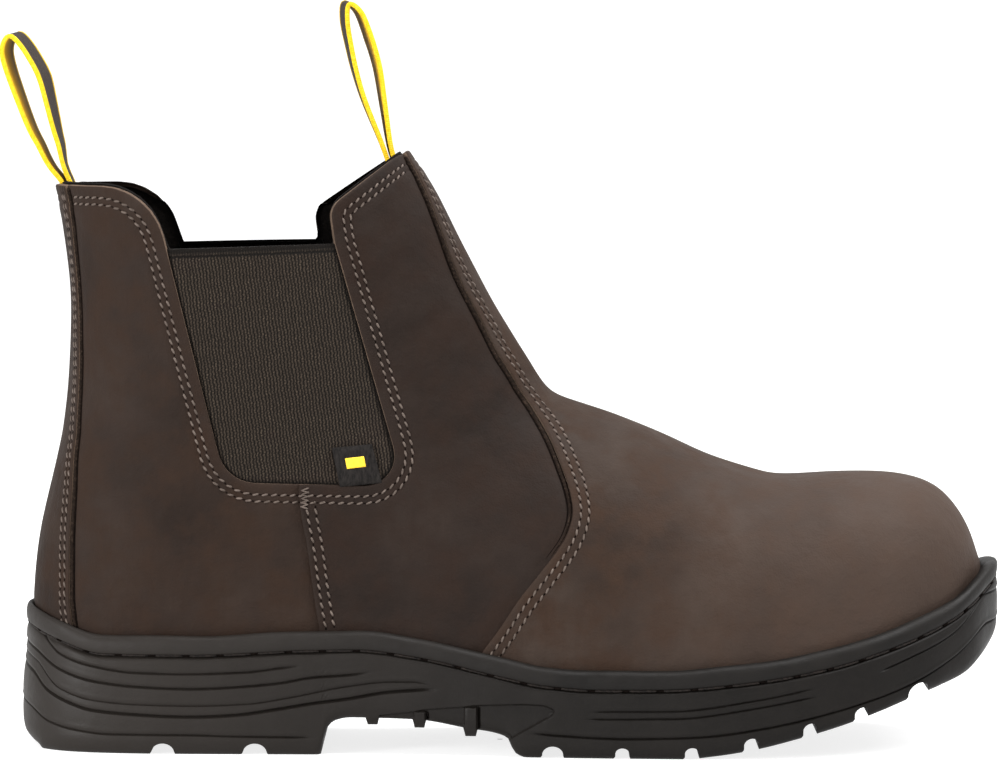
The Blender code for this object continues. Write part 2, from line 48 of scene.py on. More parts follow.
# ---------------------------------------------------------------- main sizes
WALL = 2.8                # leather and lining of the upper
GORE_WALL = 2.0           # elastic panel
GORE_RECESS = 0.5         # elastic lies this far below the leather face
GAP = 0.3                 # clearance between pieces that meet
WELT_HEIGHT = 5.0         # welt band, from the feather line down
WELT_CLEAR = 0.75         # welt from the leather, which is faceted
INSOLE_THICK = 3.0
LUG_DEPTH = 3.6
CHANNEL_WIDTH = 5.0       # channel along the middle of the tread
TAPE_WIDTH = 11.0         # pull loop webbing
LOOP_Y = -2.8             # middle of both loops
TAPE_THICK = 1.5
RINGS_PER_ROW = 1.5       # mesh density of the upper along the fan
HALF_RING = 14            # and points from crown to sole on each side
STATIONS = 34             # plan outline stations from heel to toe
CENTRE_Y = -1.8           # puts the middle of the width on the axis

# ------------------------------------------------------- sections of the last
# One row a section plane.  The plane runs from (bot_x, bot_z) under the foot
# or at the back of the heel to (top_x, top_z) on the crown, instep or shin.
# base_y and crown_y are its middle at those ends, half its half width, widest
# the fraction from bottom to top where that width is, n_top and n_bot the
# roundness above and below (2 is an ellipse, more is boxier).
SECTION_COLUMNS = ("top_x", "top_z", "bot_x", "bot_z", "base_y", "crown_y",
                   "half", "widest", "n_top", "n_bot")
SECTIONS = (
    (151.4, 55.0, 151.4, 36.0, 8.5, 8.5, 5.0, 0.60, 2.4, 3.2),
    (150.6, 57.0, 150.9, 35.8, 8.4, 8.5, 10.1, 0.55, 2.4, 3.6),
    (148.2, 63.6, 148.4, 34.3, 8.0, 8.4, 18.2, 0.50, 2.5, 4.2),
    (143.7, 72.2, 143.8, 31.5, 7.2, 8.0, 26.7, 0.47, 2.6, 5.0),
    (137.5, 78.9, 137.6, 27.5, 6.2, 7.6, 33.8, 0.44, 2.6, 5.0),
    (129.0, 82.4, 129.0, 23.5, 5.0, 7.0, 40.1, 0.43, 2.6, 5.0),
    (118.0, 83.8, 118.0, 19.5, 3.6, 6.4, 45.1, 0.42, 2.6, 5.0),
    (105.0, 83.7, 105.0, 15.5, 2.2, 6.0, 48.3, 0.41, 2.55, 5.0),
    (91.0, 83.2, 91.0, 12.1, 1.0, 5.6, 49.8, 0.40, 2.45, 5.0),
    (77.0, 85.7, 77.0, 10.3, 0.2, 5.2, 50.0, 0.39, 2.3, 5.0),
    (62.0, 91.0, 62.0, 8.7, -0.4, 4.8, 49.2, 0.38, 2.2, 5.0),
    (46.0, 98.3, 44.5, 8.1, -1.4, 4.2, 47.0, 0.37, 2.1, 5.0),
    (31.3, 104.0, 22.5, 8.0, -3.0, 3.4, 43.6, 0.36, 2.0, 5.0),
    (22.5, 106.9, -4.5, 10.0, -4.2, 2.4, 39.3, 0.37, 1.95, 5.0),
    (15.6, 110.2, -38.0, 15.0, -4.0, 1.4, 35.6, 0.39, 1.95, 5.0),
    (10.5, 117.4, -77.0, 16.0, -2.8, 0.4, 34.4, 0.42, 2.0, 5.0),
    (5.0, 125.8, -117.0, 17.0, -1.6, -0.4, 35.0, 0.45, 2.05, 4.4),
    (-0.5, 135.0, -141.5, 25.0, -1.0, -0.8, 35.9, 0.47, 2.1, 3.3),
    (-6.0, 144.8, -145.7, 45.5, -1.0, -1.0, 37.0, 0.48, 2.1, 2.6),
    (-11.5, 155.5, -143.0, 69.5, -1.0, -1.0, 38.2, 0.48, 2.1, 2.4),
    (-17.0, 166.3, -137.2, 94.5, -1.0, -1.0, 39.2, 0.48, 2.1, 2.3),
    (-22.4, 176.4, -134.3, 119.0, -1.0, -1.0, 39.8, 0.48, 2.1, 2.3),
    (-27.9, 184.2, -133.9, 141.0, -1.0, -1.0, 40.0, 0.48, 2.1, 2.3),
    (-33.5, 191.2, -136.2, 161.0, -1.0, -1.0, 40.0, 0.48, 2.1, 2.3),
    (-40.0, 198.0, -139.8, 181.0, -1.0, -1.0, 40.0, 0.48, 2.1, 2.3),
)

# Height of the feather line, where leather meets welt, along the boot.
FEATHER_COLUMNS = ("x", "z")
FEATHER = (
    (-150.0, 44.8), (-146.0, 43.4), (-137.0, 40.0), (-122.0, 35.9), (-95.0, 35.7),
    (-58.0, 37.3), (-44.0, 37.5), (-24.0, 35.1), (0.0, 29.8), (14.0, 27.1),
    (30.0, 26.1), (50.0, 26.3), (72.0, 28.1), (101.0, 32.9), (117.0, 37.4),
    (128.0, 41.2), (140.0, 46.4), (146.0, 50.2), (152.0, 54.8), (157.0, 58.0),
)

# Underside of the sole: heel, breast, arch, forefoot and toe spring.
GROUND_COLUMNS = ("x", "z")
GROUND = (
    (-160.0, 4.4), (-148.0, 2.9), (-143.4, 1.3), (-141.6, 0.0), (-55.2, 0.0), (-53.6, 7.4), (-50.6, 10.6), (-46.0, 11.5),
    (-26.0, 11.1), (-11.0, 8.8), (2.0, 6.2), (4.6, 1.4), (8.0, 0.0),
    (56.0, 0.0), (66.0, 1.0), (78.0, 3.0), (91.0, 6.2), (105.0, 10.2),
    (117.0, 14.3), (127.0, 18.0), (136.0, 21.0), (144.0, 24.0), (150.0, 28.5),
    (155.0, 34.0), (160.0, 40.0),
)

# How far the sole edge stands out from the leather.
EDGE_COLUMNS = ("x", "out")
EDGE = ((-152.0, 3.6), (-120.0, 3.2), (-60.0, 3.6), (0.0, 4.0), (60.0, 4.1),
        (120.0, 4.7), (152.0, 5.1), (160.0, 5.1))

# Side wall of the outsole, top to bottom: share of the height from underside
# to top, and how much the wall leans out (+) or in (-) from the sole edge.
SIDEWALL_COLUMNS = ("share", "lean")
SIDEWALL = ((1.00, -1.7), (0.93, -0.4), (0.62, 0.0), (0.22, 0.0), (0.08, -0.9), (0.0, -3.2))

# Cut-outs for the elastic, seen from the side, and the topline above them.
# rear/front are x at the collar and at the foot of the gore.
GORE_COLUMNS = ("rear_top", "front_top", "top_rear_z", "top_front_z", "rear_low",
                "front_low", "low_rear_z", "low_front_z", "rear_radius",
                "front_radius", "quarter_x", "quarter_z", "peak_x", "peak_z")
GORES = {
    "lateral": (-102.2, -50.3, 155.2, 157.1, -84.0, -29.2, 83.6, 82.3, 12.0, 9.0,
                -51.8, 168.2, -32.0, 183.4),
    "medial": (-101.6, -57.2, 155.2, 156.2, -84.0, -34.2, 83.6, 82.3, 12.0, 9.0,
               -58.6, 166.0, -35.0, 182.2),
}
REAR_TOPLINE = 174.3
REAR_RADIUS = 20.0
FRONT_PEAK = (-24.0, 186.6)

# Channels across the tread: front and rear x, in order from the heel.
CHANNEL_COLUMNS = ("rear", "front")
CHANNELS = ((-107.4, -102.2), (-79.2, -74.0), (14.4, 19.6), (34.6, 39.2),
            (55.8, 60.6), (74.4, 78.8), (92.4, 96.6), (108.6, 112.8), (125.2, 130.4))
# Ribs under the arch: rear and front x, and the height of the rib's foot.
RIB_COLUMNS = ("rear", "front", "foot")
RIBS = ((-40.8, -37.4, 9.4), (-26.4, -23.0, 8.6), (-10.8, -7.2, 6.2))

# Middle line of each pull loop's tape, from one end inside the collar, round
# the top and back to the other end.
LOOP_COLUMNS = ("x", "z")
BACK_LOOP = ((-130.2, 156.0), (-131.6, 166.0), (-132.9, 172.6), (-134.4, 175.6),
             (-137.2, 178.8), (-140.9, 182.9), (-145.3, 189.3), (-148.8, 197.1), (-152.0, 205.4),
             (-154.4, 212.6), (-154.6, 217.6), (-152.6, 220.4), (-149.8, 218.4),
             (-146.7, 213.9), (-144.0, 208.9), (-142.0, 202.8), (-140.3, 196.4),
             (-138.8, 191.0), (-136.9, 185.7), (-134.0, 180.1), (-131.5, 175.0),
             (-130.0, 169.0), (-129.1, 164.0), (-127.8, 156.0))
FRONT_LOOP = ((-24.8, 168.4), (-28.4, 174.2), (-32.0, 180.2), (-33.5, 184.6),
              (-34.4, 189.6), (-35.2, 195.9), (-36.1, 203.0), (-37.1, 210.2),
              (-38.9, 217.4), (-41.4, 224.6), (-44.2, 229.2), (-46.4, 230.4),
              (-47.3, 226.6), (-46.5, 219.5), (-45.0, 211.7), (-41.8, 200.2),
              (-38.3, 191.2), (-36.1, 185.4), (-34.4, 180.6), (-31.1, 174.2),
              (-27.3, 168.4))


# ------------------------------------------------------------------- helpers
def column(table, names, name):
    return np.array([row[names.index(name)] for row in table], float)


def monotone(xs, ys, x):
    """Monotone cubic through the rows: no overshoot between them."""
    x = np.clip(np.asarray(x, float), xs[0], xs[-1])
    h = np.diff(xs)
    d = np.diff(ys) / h
    m = np.zeros(len(xs))
    m[0], m[-1] = d[0], d[-1]
    for i in range(1, len(xs) - 1):
        if d[i - 1] * d[i] > 0:
            w1, w2 = 2 * h[i] + h[i - 1], h[i] + 2 * h[i - 1]
            m[i] = (w1 + w2) / (w1 / d[i - 1] + w2 / d[i])
    i = np.clip(np.searchsorted(xs, x) - 1, 0, len(h) - 1)
    t = (x - xs[i]) / h[i]
    return ((2 * t**3 - 3 * t**2 + 1) * ys[i] + (t**3 - 2 * t**2 + t) * h[i] * m[i]
            + (3 * t**2 - 2 * t**3) * ys[i + 1] + (t**3 - t**2) * h[i] * m[i + 1])


def spline(us, vs, u):
    """Natural cubic spline, smooth in curvature."""
    n = len(us)
    h = np.diff(us)
    a, b = np.eye(n), np.zeros(n)
    for i in range(1, n - 1):
        a[i, i - 1:i + 2] = h[i - 1], 2 * (h[i - 1] + h[i]), h[i]
        b[i] = 6 * ((vs[i + 1] - vs[i]) / h[i] - (vs[i] - vs[i - 1]) / h[i - 1])
    m = np.linalg.solve(a, b)
    u = np.asarray(u, float)
    i = np.clip(np.searchsorted(us, u) - 1, 0, n - 2)
    p, q = us[i + 1] - u, u - us[i]
    return (m[i] * p**3 + m[i + 1] * q**3) / (6 * h[i]) \
        + (vs[i] / h[i] - m[i] * h[i] / 6) * p + (vs[i + 1] / h[i] - m[i + 1] * h[i] / 6) * q


def feather(x):
    return monotone(column(FEATHER, FEATHER_COLUMNS, "x"), column(FEATHER, FEATHER_COLUMNS, "z"), x)


def ground(x):
    return monotone(column(GROUND, GROUND_COLUMNS, "x"), column(GROUND, GROUND_COLUMNS, "z"), x)


def edge_out(x):
    return monotone(column(EDGE, EDGE_COLUMNS, "x"), column(EDGE, EDGE_COLUMNS, "out"), x)


def section_lengths():
    t = np.stack([column(SECTIONS, SECTION_COLUMNS, c) for c in ("top_x", "top_z", "bot_x", "bot_z")], 1)
    step = np.diff(t, axis=0)
    return np.concatenate([[0], np.cumsum(np.hypot(step[:, 0], step[:, 1]) * 0.5
                                          + np.hypot(step[:, 2], step[:, 3]) * 0.5)])


def last_surface(where, half_ring):
    """Rings of the upper's outer face: (len(where), 2 * half_ring, 3) in mm.

    where counts section rows.  Each ring starts on the crown, runs down the
    lateral side to the sole and back up the medial side, evenly spaced.
    """
    lengths = section_lengths()
    u = np.interp(where, np.arange(len(SECTIONS)), lengths)
    c = {name: spline(lengths, column(SECTIONS, SECTION_COLUMNS, name), u) for name in SECTION_COLUMNS}
    angle = np.linspace(0, math.pi, 181)
    upper = angle <= math.pi / 2
    cos, sin = np.abs(np.cos(angle)), np.abs(np.sin(angle))
    rings = []
    for k in range(len(u)):
        n = np.where(upper, c["n_top"][k], c["n_bot"][k])
        w = c["widest"][k]
        t = np.where(upper, w + (1 - w) * cos**(2 / n), w - w * cos**(2 / n))
        width = np.maximum(c["half"][k], 1.0) * sin**(2 / n)
        mid = c["base_y"][k] + (c["crown_y"][k] - c["base_y"][k]) * t + CENTRE_Y
        x = c["bot_x"][k] + (c["top_x"][k] - c["bot_x"][k]) * t
        z = c["bot_z"][k] + (c["top_z"][k] - c["bot_z"][k]) * t
        sides = []
        for sign in (-1, 1):
            p = np.stack([x, mid + sign * width, z], 1)
            run = np.concatenate([[0], np.cumsum(np.linalg.norm(np.diff(p, axis=0), axis=1))])
            even = np.linspace(0, run[-1], half_ring + 1)
            sides.append(np.stack([np.interp(even, run, p[:, a]) for a in range(3)], 1))
        rings.append(np.concatenate([sides[0], sides[1][-2:0:-1]]))
    return np.array(rings)


def feather_outline(drop=0.0):
    """Plan outline of the upper at the feather line, heel to toe: lateral and medial points."""
    where = np.concatenate([np.linspace(0, 2, 30), np.linspace(2.05, 16, 120), np.linspace(16.02, 18.5, 240)])
    rings = last_surface(where, 90)
    found = ([], [])
    for ring in rings:
        for side in range(2):
            run = ring[:91] if side == 0 else np.concatenate([ring[:1], ring[:89:-1]])
            g = run[:, 2] - (feather(run[:, 0]) - drop)
            cross = np.nonzero((g[:-1] > 0) & (g[1:] <= 0))[0]
            if len(cross):
                i = cross[0]
                t = g[i] / (g[i] - g[i + 1])
                found[side].append(run[i, :2] + t * (run[i + 1, :2] - run[i, :2]))
    lateral, medial = (np.array(f[::-1]) for f in found)
    return lateral, medial


def plan(out, stations=STATIONS, of=None):
    """The outline moved outwards by out(x), at even stations: x, lateral y, medial y."""
    lateral, medial = of
    loop = np.concatenate([lateral, medial[::-1]])
    keep = np.concatenate([[True], np.linalg.norm(np.diff(loop, axis=0), axis=1) > 0.05])
    loop = loop[keep]
    run = np.concatenate([[0], np.cumsum(np.linalg.norm(np.diff(loop, axis=0, append=loop[:1]), axis=1))])
    even = np.linspace(0, run[-1], 721)[:-1]
    closed = np.concatenate([loop, loop[:1]])
    p = np.stack([np.interp(even, run, closed[:, a]) for a in range(2)], 1)
    for _ in range(12):
        p = 0.5 * p + 0.25 * (np.roll(p, 1, 0) + np.roll(p, -1, 0))
    tangent = np.roll(p, -2, 0) - np.roll(p, 2, 0)
    tangent /= np.linalg.norm(tangent, axis=1)[:, None]
    normal = np.stack([tangent[:, 1], -tangent[:, 0]], 1)
    if (normal[:, 0] * (p[:, 0] - p[:, 0].mean())).sum() < 0:
        normal = -normal
    q = p + normal * np.asarray(out(p[:, 0]))[:, None]
    heel, toe = int(np.argmin(q[:, 0])), int(np.argmax(q[:, 0]))
    q = np.roll(q, -heel, 0)
    toe = (toe - heel) % len(q)
    one, two = q[:toe + 1], np.concatenate([q[toe:], q[:1]])[::-1]
    if one[:, 1].mean() > two[:, 1].mean():
        one, two = two, one
    x = one[0, 0] + (one[-1, 0] - one[0, 0]) * (1 - np.cos(np.linspace(0, math.pi, stations + 1))) / 2
    ys = []
    for half in (one, two):
        rising = np.maximum.accumulate(half[:, 0])
        ys.append(np.interp(x, rising, half[:, 1]))
    ys[1][0], ys[1][-1] = ys[0][0], ys[0][-1]
    return x, ys[0], ys[1]


def corner(before, at, after, radius, steps=6):
    """Points of a rounded corner."""
    a, p, b = (np.array(v, float) for v in (before, at, after))
    u, v = (a - p) / np.linalg.norm(a - p), (b - p) / np.linalg.norm(b - p)
    half = math.acos(max(-1, min(1, float(u @ v)))) / 2
    reach = radius / math.tan(half)
    centre = p + (u + v) / np.linalg.norm(u + v) * radius / math.sin(half)
    start, end = p + u * reach - centre, p + v * reach - centre
    turn = math.atan2(start[0] * end[1] - start[1] * end[0], float(start @ end))
    return [tuple(centre + np.array((math.cos(turn * k / steps) * start[0] - math.sin(turn * k / steps) * start[1],
                                     math.sin(turn * k / steps) * start[0] + math.cos(turn * k / steps) * start[1])))
            for k in range(steps + 1)]


def gore_outline(side, shrink=0.0):
    """U shape of one elastic panel from rear top round the foot to front top, in (x, z)."""
    g = dict(zip(GORE_COLUMNS, GORES[side]))
    rear_top = (g["rear_top"] + shrink, g["top_rear_z"])
    front_top = (g["front_top"] - shrink, g["top_front_z"])
    rear_low = (g["rear_low"] + shrink, g["low_rear_z"] + shrink)
    front_low = (g["front_low"] - shrink, g["low_front_z"] + shrink)
    return ([rear_top] + corner(rear_top, rear_low, front_low, g["rear_radius"] - shrink)
            + corner(rear_low, front_low, front_top, g["front_radius"] - shrink) + [front_top])


def collar_outline(side):
    """Everything cut away above the topline and inside the gore, in (x, z)."""
    g = dict(zip(GORE_COLUMNS, GORES[side]))
    u = gore_outline(side)
    lean = (g["rear_low"] - g["rear_top"]) / (g["top_rear_z"] - g["low_rear_z"])
    rear_corner = (g["rear_top"] - lean * (REAR_TOPLINE - g["top_rear_z"]), REAR_TOPLINE)
    rear = corner((-170.0, REAR_TOPLINE), rear_corner, u[0], REAR_RADIUS)
    quarter = (g["quarter_x"], g["quarter_z"])
    front = corner(u[-1], quarter, (g["peak_x"], g["peak_z"]), 6.0, 4)
    return ([(-170.0, 240.0), (-170.0, REAR_TOPLINE)] + rear + u[1:] + front
            + [(g["peak_x"], g["peak_z"]), FRONT_PEAK, (10.0, FRONT_PEAK[1]), (10.0, 240.0)])



# ------------------------------------------------------------ mesh in arrays
class Net:
    """Triangles with a position, a normal and named values at each point."""

    def __init__(self, points, normals, tris, values=None):
        self.p, self.n, self.t = points, normals, tris
        self.v = dict(values or {})

    def blend_rows(self, a, b, share):
        self.p = np.concatenate([self.p, self.p[a] + share[:, None] * (self.p[b] - self.p[a])])
        n = self.n[a] + share[:, None] * (self.n[b] - self.n[a])
        self.n = np.concatenate([self.n, n / np.maximum(np.linalg.norm(n, axis=1), 1e-9)[:, None]])
        for key, value in self.v.items():
            self.v[key] = np.concatenate([value, value[a] + share * (value[b] - value[a])])

    def split(self, values, keep=0):
        """A new net cut along values = 0; keep 1 or -1 leaves only that side."""
        v = np.where(np.abs(values) < 1e-5, 1e-5, values)
        up = v > 0
        of = up[self.t]
        count = of.sum(1)
        mixed = (count == 1) | (count == 2)
        whole, t, s = self.t[~mixed], self.t[mixed], of[mixed]
        lone = np.where(count[mixed] == 1, s.argmax(1), (~s).argmax(1))
        t = np.take_along_axis(t, (lone[:, None] + np.arange(3)) % 3, 1)
        a, b, c = t.T
        pairs = np.concatenate([np.stack([a, b], 1), np.stack([a, c], 1)])
        low, high = pairs.min(1), pairs.max(1)
        key, back = np.unique(low.astype(np.int64) * len(self.p) + high, return_inverse=True)
        low, high = key // len(self.p), key % len(self.p)
        made = Net(self.p, self.n, None, self.v)
        made.blend_rows(low, high, v[low] / (v[low] - v[high]))
        back = back.reshape(-1) + len(self.p)
        p, q = back[:len(t)], back[len(t):]
        made.t = np.concatenate([whole, np.stack([a, p, q], 1), np.stack([p, b, c], 1), np.stack([p, c, q], 1)])
        if keep:
            side = np.concatenate([up[whole[:, 0]], up[a], up[b], up[b]])
            made.t = made.t[side == (keep > 0)]
            used = np.unique(made.t)
            place = np.zeros(len(made.p), np.int64)
            place[used] = np.arange(len(used))
            made = Net(made.p[used], made.n[used], place[made.t], {k: x[used] for k, x in made.v.items()})
        return made

    def levels(self, name, wanted):
        """Extra edge loops along a value's levels."""
        net = self
        for level in wanted:
            net = net.split(net.v[name] - level)
        return net

    def rim(self):
        """Directed edges that only one triangle has."""
        e = np.concatenate([self.t[:, [0, 1]], self.t[:, [1, 2]], self.t[:, [2, 0]]])
        n = len(self.p)
        forward = e[:, 0].astype(np.int64) * n + e[:, 1]
        backward = e[:, 1].astype(np.int64) * n + e[:, 0]
        return e[~np.isin(forward, backward)]

    def skirt(self, depth, rows=((0.35, 0.0), (1.0, 0.0))):
        """Walls down from the open edges; the triangle numbers of the walls come back."""
        e = self.rim()
        ring = np.unique(e)
        place = np.zeros(len(self.p), np.int64)
        place[ring] = np.arange(len(ring))
        at, first = ring, len(self.t)
        for share, _ in rows:
            start = len(self.p)
            self.p = np.concatenate([self.p, self.p[ring] - self.n[ring] * depth * share])
            self.n = np.concatenate([self.n, self.n[ring]])
            self.v = {k: np.concatenate([x, x[ring]]) for k, x in self.v.items()}
            a0, b0 = at[place[e[:, 0]]], at[place[e[:, 1]]]
            low = start + np.arange(len(ring))
            a1, b1 = low[place[e[:, 0]]], low[place[e[:, 1]]]
            self.t = np.concatenate([self.t, np.stack([b0, a0, a1], 1), np.stack([b0, a1, b1], 1)])
            at = low
        return np.arange(first, len(self.t))


def grid_tris(rows, cols, wrap):
    i, j = np.meshgrid(np.arange(rows - 1), np.arange(cols if wrap else cols - 1), indexing="ij")
    a, b = i * cols + j, i * cols + (j + 1) % cols
    c, d = a + cols, b + cols
    return np.concatenate([np.stack([a, b, d], 2).reshape(-1, 3), np.stack([a, d, c], 2).reshape(-1, 3)])


def grid_normals(g, wrap):
    along = np.gradient(g, axis=0)
    around = np.roll(g, -1, 1) - np.roll(g, 1, 1)
    if not wrap:
        around[:, 0], around[:, -1] = g[:, 1] - g[:, 0], g[:, -1] - g[:, -2]
    n = np.cross(around, along)
    n /= np.maximum(np.linalg.norm(n, axis=2), 1e-9)[:, :, None]
    return n


def smooth(t):
    t = np.clip(t, 0.0, 1.0)
    return t * t * (3 - 2 * t)


def make(name, points, faces, mats, index=None, values=None, flat=False):
    """Mesh object in metres from millimetre arrays, with named point values for its material."""
    points, faces = np.asarray(points, float), np.asarray(faces, np.int64)
    mesh = bpy.data.meshes.new(name)
    k = faces.shape[1]
    mesh.vertices.add(len(points))
    mesh.vertices.foreach_set("co", (points * MM).astype(np.float32).ravel())
    mesh.loops.add(len(faces) * k)
    mesh.loops.foreach_set("vertex_index", faces.astype(np.int32).ravel())
    mesh.polygons.add(len(faces))
    mesh.polygons.foreach_set("loop_start", (np.arange(len(faces)) * k).astype(np.int32))
    mesh.update(calc_edges=True)
    for mat in mats:
        mesh.materials.append(mat)
    if index is not None:
        mesh.polygons.foreach_set("material_index", np.asarray(index, np.int32))
    for key, value in (values or {}).items():
        mesh.attributes.new(key, "FLOAT", "POINT").data.foreach_set("value", np.asarray(value, np.float32))
    if not flat:
        mesh.shade_smooth()
    obj = bpy.data.objects.new(name, mesh)
    bpy.context.scene.collection.objects.link(obj)
    return obj


def ride(obj, slot, *nodes):
    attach(obj, "root")
    if nodes:
        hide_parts(*nodes)
    return obj


# ------------------------------------------------------------- lines on it
def resample(line, step):
    line = np.asarray(line, float)
    run = np.concatenate([[0], np.cumsum(np.linalg.norm(np.diff(line, axis=0), axis=1))])
    count = max(int(round(run[-1] / step)), 2)
    even = np.linspace(0, run[-1], count + 1)
    return np.stack([np.interp(even, run, line[:, a]) for a in range(line.shape[1])], 1)


def soften(line, times):
    line = line.copy()
    for _ in range(times):
        line[1:-1] = 0.5 * line[1:-1] + 0.25 * (line[:-2] + line[2:])
    return line


def distance(points, line, reach=26.0):
    """Distance of each point to a polyline; those beyond reach get reach."""
    out = np.full(len(points), reach)
    near = np.nonzero(((points > line.min(0) - reach) & (points < line.max(0) + reach)).all(1))[0]
    a, ab = line[:-1], np.diff(line, axis=0)
    size = (ab**2).sum(1)
    for i in range(0, len(near), 2500):
        k = near[i:i + 2500]
        q = points[k][:, None] - a[None]
        t = np.clip((q * ab).sum(2) / size, 0, 1)
        out[k] = np.minimum(reach, np.sqrt(((q - t[..., None] * ab)**2).sum(2).min(1)))
    return out


def inside_distance(x, z, outline):
    """Signed distance in the side view to a closed outline, positive outside."""
    p = np.stack([x, z], 1)
    ring = resample(np.array(list(outline) + [outline[0]]), 1.2)
    d = np.full(len(p), 40.0)
    near = np.nonzero((p > ring.min(0) - 40).all(1) & (p < ring.max(0) + 40).all(1))[0]
    a, ab = ring[:-1], np.diff(ring, axis=0)
    size = (ab**2).sum(1)
    for i in range(0, len(near), 4000):
        k = near[i:i + 4000]
        q = p[k][:, None] - a[None]
        t = np.clip((q * ab).sum(2) / size, 0, 1)
        gap = np.sqrt(((q - t[..., None] * ab)**2).sum(2).min(1))
        cross = ((a[:, 1] > p[k][:, 1:2]) != (ring[1:, 1] > p[k][:, 1:2]))
        at = a[:, 0] + (p[k][:, 1:2] - a[:, 1]) / np.where(ab[:, 1] == 0, 1e-9, ab[:, 1]) * ab[:, 0]
        odd = ((cross & (p[k][:, 0:1] < at)).sum(1) % 2) == 1
        d[k] = np.where(odd, -gap, gap)
    return d


# ---------------------------------------------------------------- materials
def lin(r, g, b, a=1.0):
    """Linear colour from screen values 0 to 255."""
    return tuple((v / 255 / 12.92) if v <= 10 else ((v / 255 + 0.055) / 1.055)**2.4 for v in (r, g, b)) + (a,)


class Look:
    """A procedural material built from a few kinds of node."""

    def __init__(self, name, roughness=0.7, tone=1.0, **sockets):
        self.tone = tone
        self.mat = bpy.data.materials.new(name)
        self.mat.use_nodes = True
        self.tree = self.mat.node_tree
        self.bsdf = next(n for n in self.tree.nodes if n.type == "BSDF_PRINCIPLED")
        self.bsdf.inputs["Roughness"].default_value = roughness
        for key, value in sockets.items():
            self.bsdf.inputs[key.replace("_", " ")].default_value = value
        self.where = self.new("ShaderNodeTexCoord").outputs["Object"]

    def new(self, kind, **settings):
        node = self.tree.nodes.new(kind)
        for key, value in settings.items():
            setattr(node, key, value)
        return node

    def link(self, a, b):
        self.tree.links.new(a, b)

    def scaled(self, x, y, z, turn=0.0):
        node = self.new("ShaderNodeMapping")
        node.inputs["Scale"].default_value = (x, y, z)
        node.inputs["Rotation"].default_value = (0.0, turn, 0.0)
        self.link(self.where, node.inputs["Vector"])
        return node.outputs["Vector"]

    def noise(self, scale, detail=3.0, rough=0.55, stretch=(1, 1, 1), turn=0.0):
        node = self.new("ShaderNodeTexNoise")
        self.link(self.scaled(*(scale * s for s in stretch), turn), node.inputs["Vector"])
        node.inputs["Scale"].default_value = 1.0
        node.inputs["Detail"].default_value = detail
        node.inputs["Roughness"].default_value = rough
        return node.outputs["Fac"]

    def cells(self, scale, stretch=(1, 1, 1)):
        node = self.new("ShaderNodeTexVoronoi")
        self.link(self.scaled(*(scale * s for s in stretch)), node.inputs["Vector"])
        node.inputs["Scale"].default_value = 1.0
        return node.outputs["Distance"]

    def value(self, name):
        node = self.new("ShaderNodeAttribute", attribute_name=name)
        return node.outputs["Fac"]

    def tint(self, colour):
        return (*(v * self.tone for v in colour[:3]), 1.0)

    def ramp(self, fac, stops):
        node = self.new("ShaderNodeValToRGB")
        self.link(fac, node.inputs["Fac"])
        line = node.color_ramp
        while len(line.elements) < len(stops):
            line.elements.new(0.5)
        for element, (at, colour) in zip(line.elements, stops):
            element.position = at
            element.color = self.tint(colour)
        return node.outputs["Color"]

    def mix(self, fac, a, b, how="MIX"):
        node = self.new("ShaderNodeMix", data_type="RGBA", blend_type=how)
        for value, socket in ((fac, node.inputs[0]), (a, node.inputs[6]), (b, node.inputs[7])):
            if isinstance(value, (int, float)):
                socket.default_value = value
            elif isinstance(value, tuple):
                socket.default_value = self.tint(value)
            else:
                self.link(value, socket)
        return node.outputs[2]

    def maths(self, how, a, b=0.0):
        node = self.new("ShaderNodeMath", operation=how)
        for value, socket in ((a, node.inputs[0]), (b, node.inputs[1])):
            if isinstance(value, (int, float)):
                socket.default_value = value
            else:
                self.link(value, socket)
        return node.outputs[0]

    def band(self, fac, low, high, to_low=0.0, to_high=1.0):
        node = self.new("ShaderNodeMapRange")
        self.link(fac, node.inputs["Value"])
        for name, value in (("From Min", low), ("From Max", high), ("To Min", to_low), ("To Max", to_high)):
            node.inputs[name].default_value = value
        return node.outputs["Result"]

    def bump(self, height, depth, under=None):
        """Bump of the given depth in metres for a height from 0 to 1."""
        node = self.new("ShaderNodeBump")
        node.inputs["Strength"].default_value = 1.0
        node.inputs["Distance"].default_value = depth
        self.link(height, node.inputs["Height"])
        if under is not None:
            self.link(under, node.inputs["Normal"])
        return node.outputs["Normal"]

    def done(self, colour=None, roughness=None, normal=None):
        for value, name in ((colour, "Base Color"), (roughness, "Roughness"), (normal, "Normal")):
            if value is None:
                continue
            if isinstance(value, tuple):
                self.bsdf.inputs[name].default_value = value
            else:
                self.link(value, self.bsdf.inputs[name])
        return self.mat


def paler_to_heel_painted_light(k, base):
    """Rubber painted paler towards the heel: painted light, as if lit from the heel side."""
    apart = k.new("ShaderNodeSeparateXYZ")
    k.link(k.where, apart.inputs[0])
    return k.mix(k.band(apart.outputs["X"], -0.12, 0.02, 0.62, 0.0), base, lin(92, 84, 78))


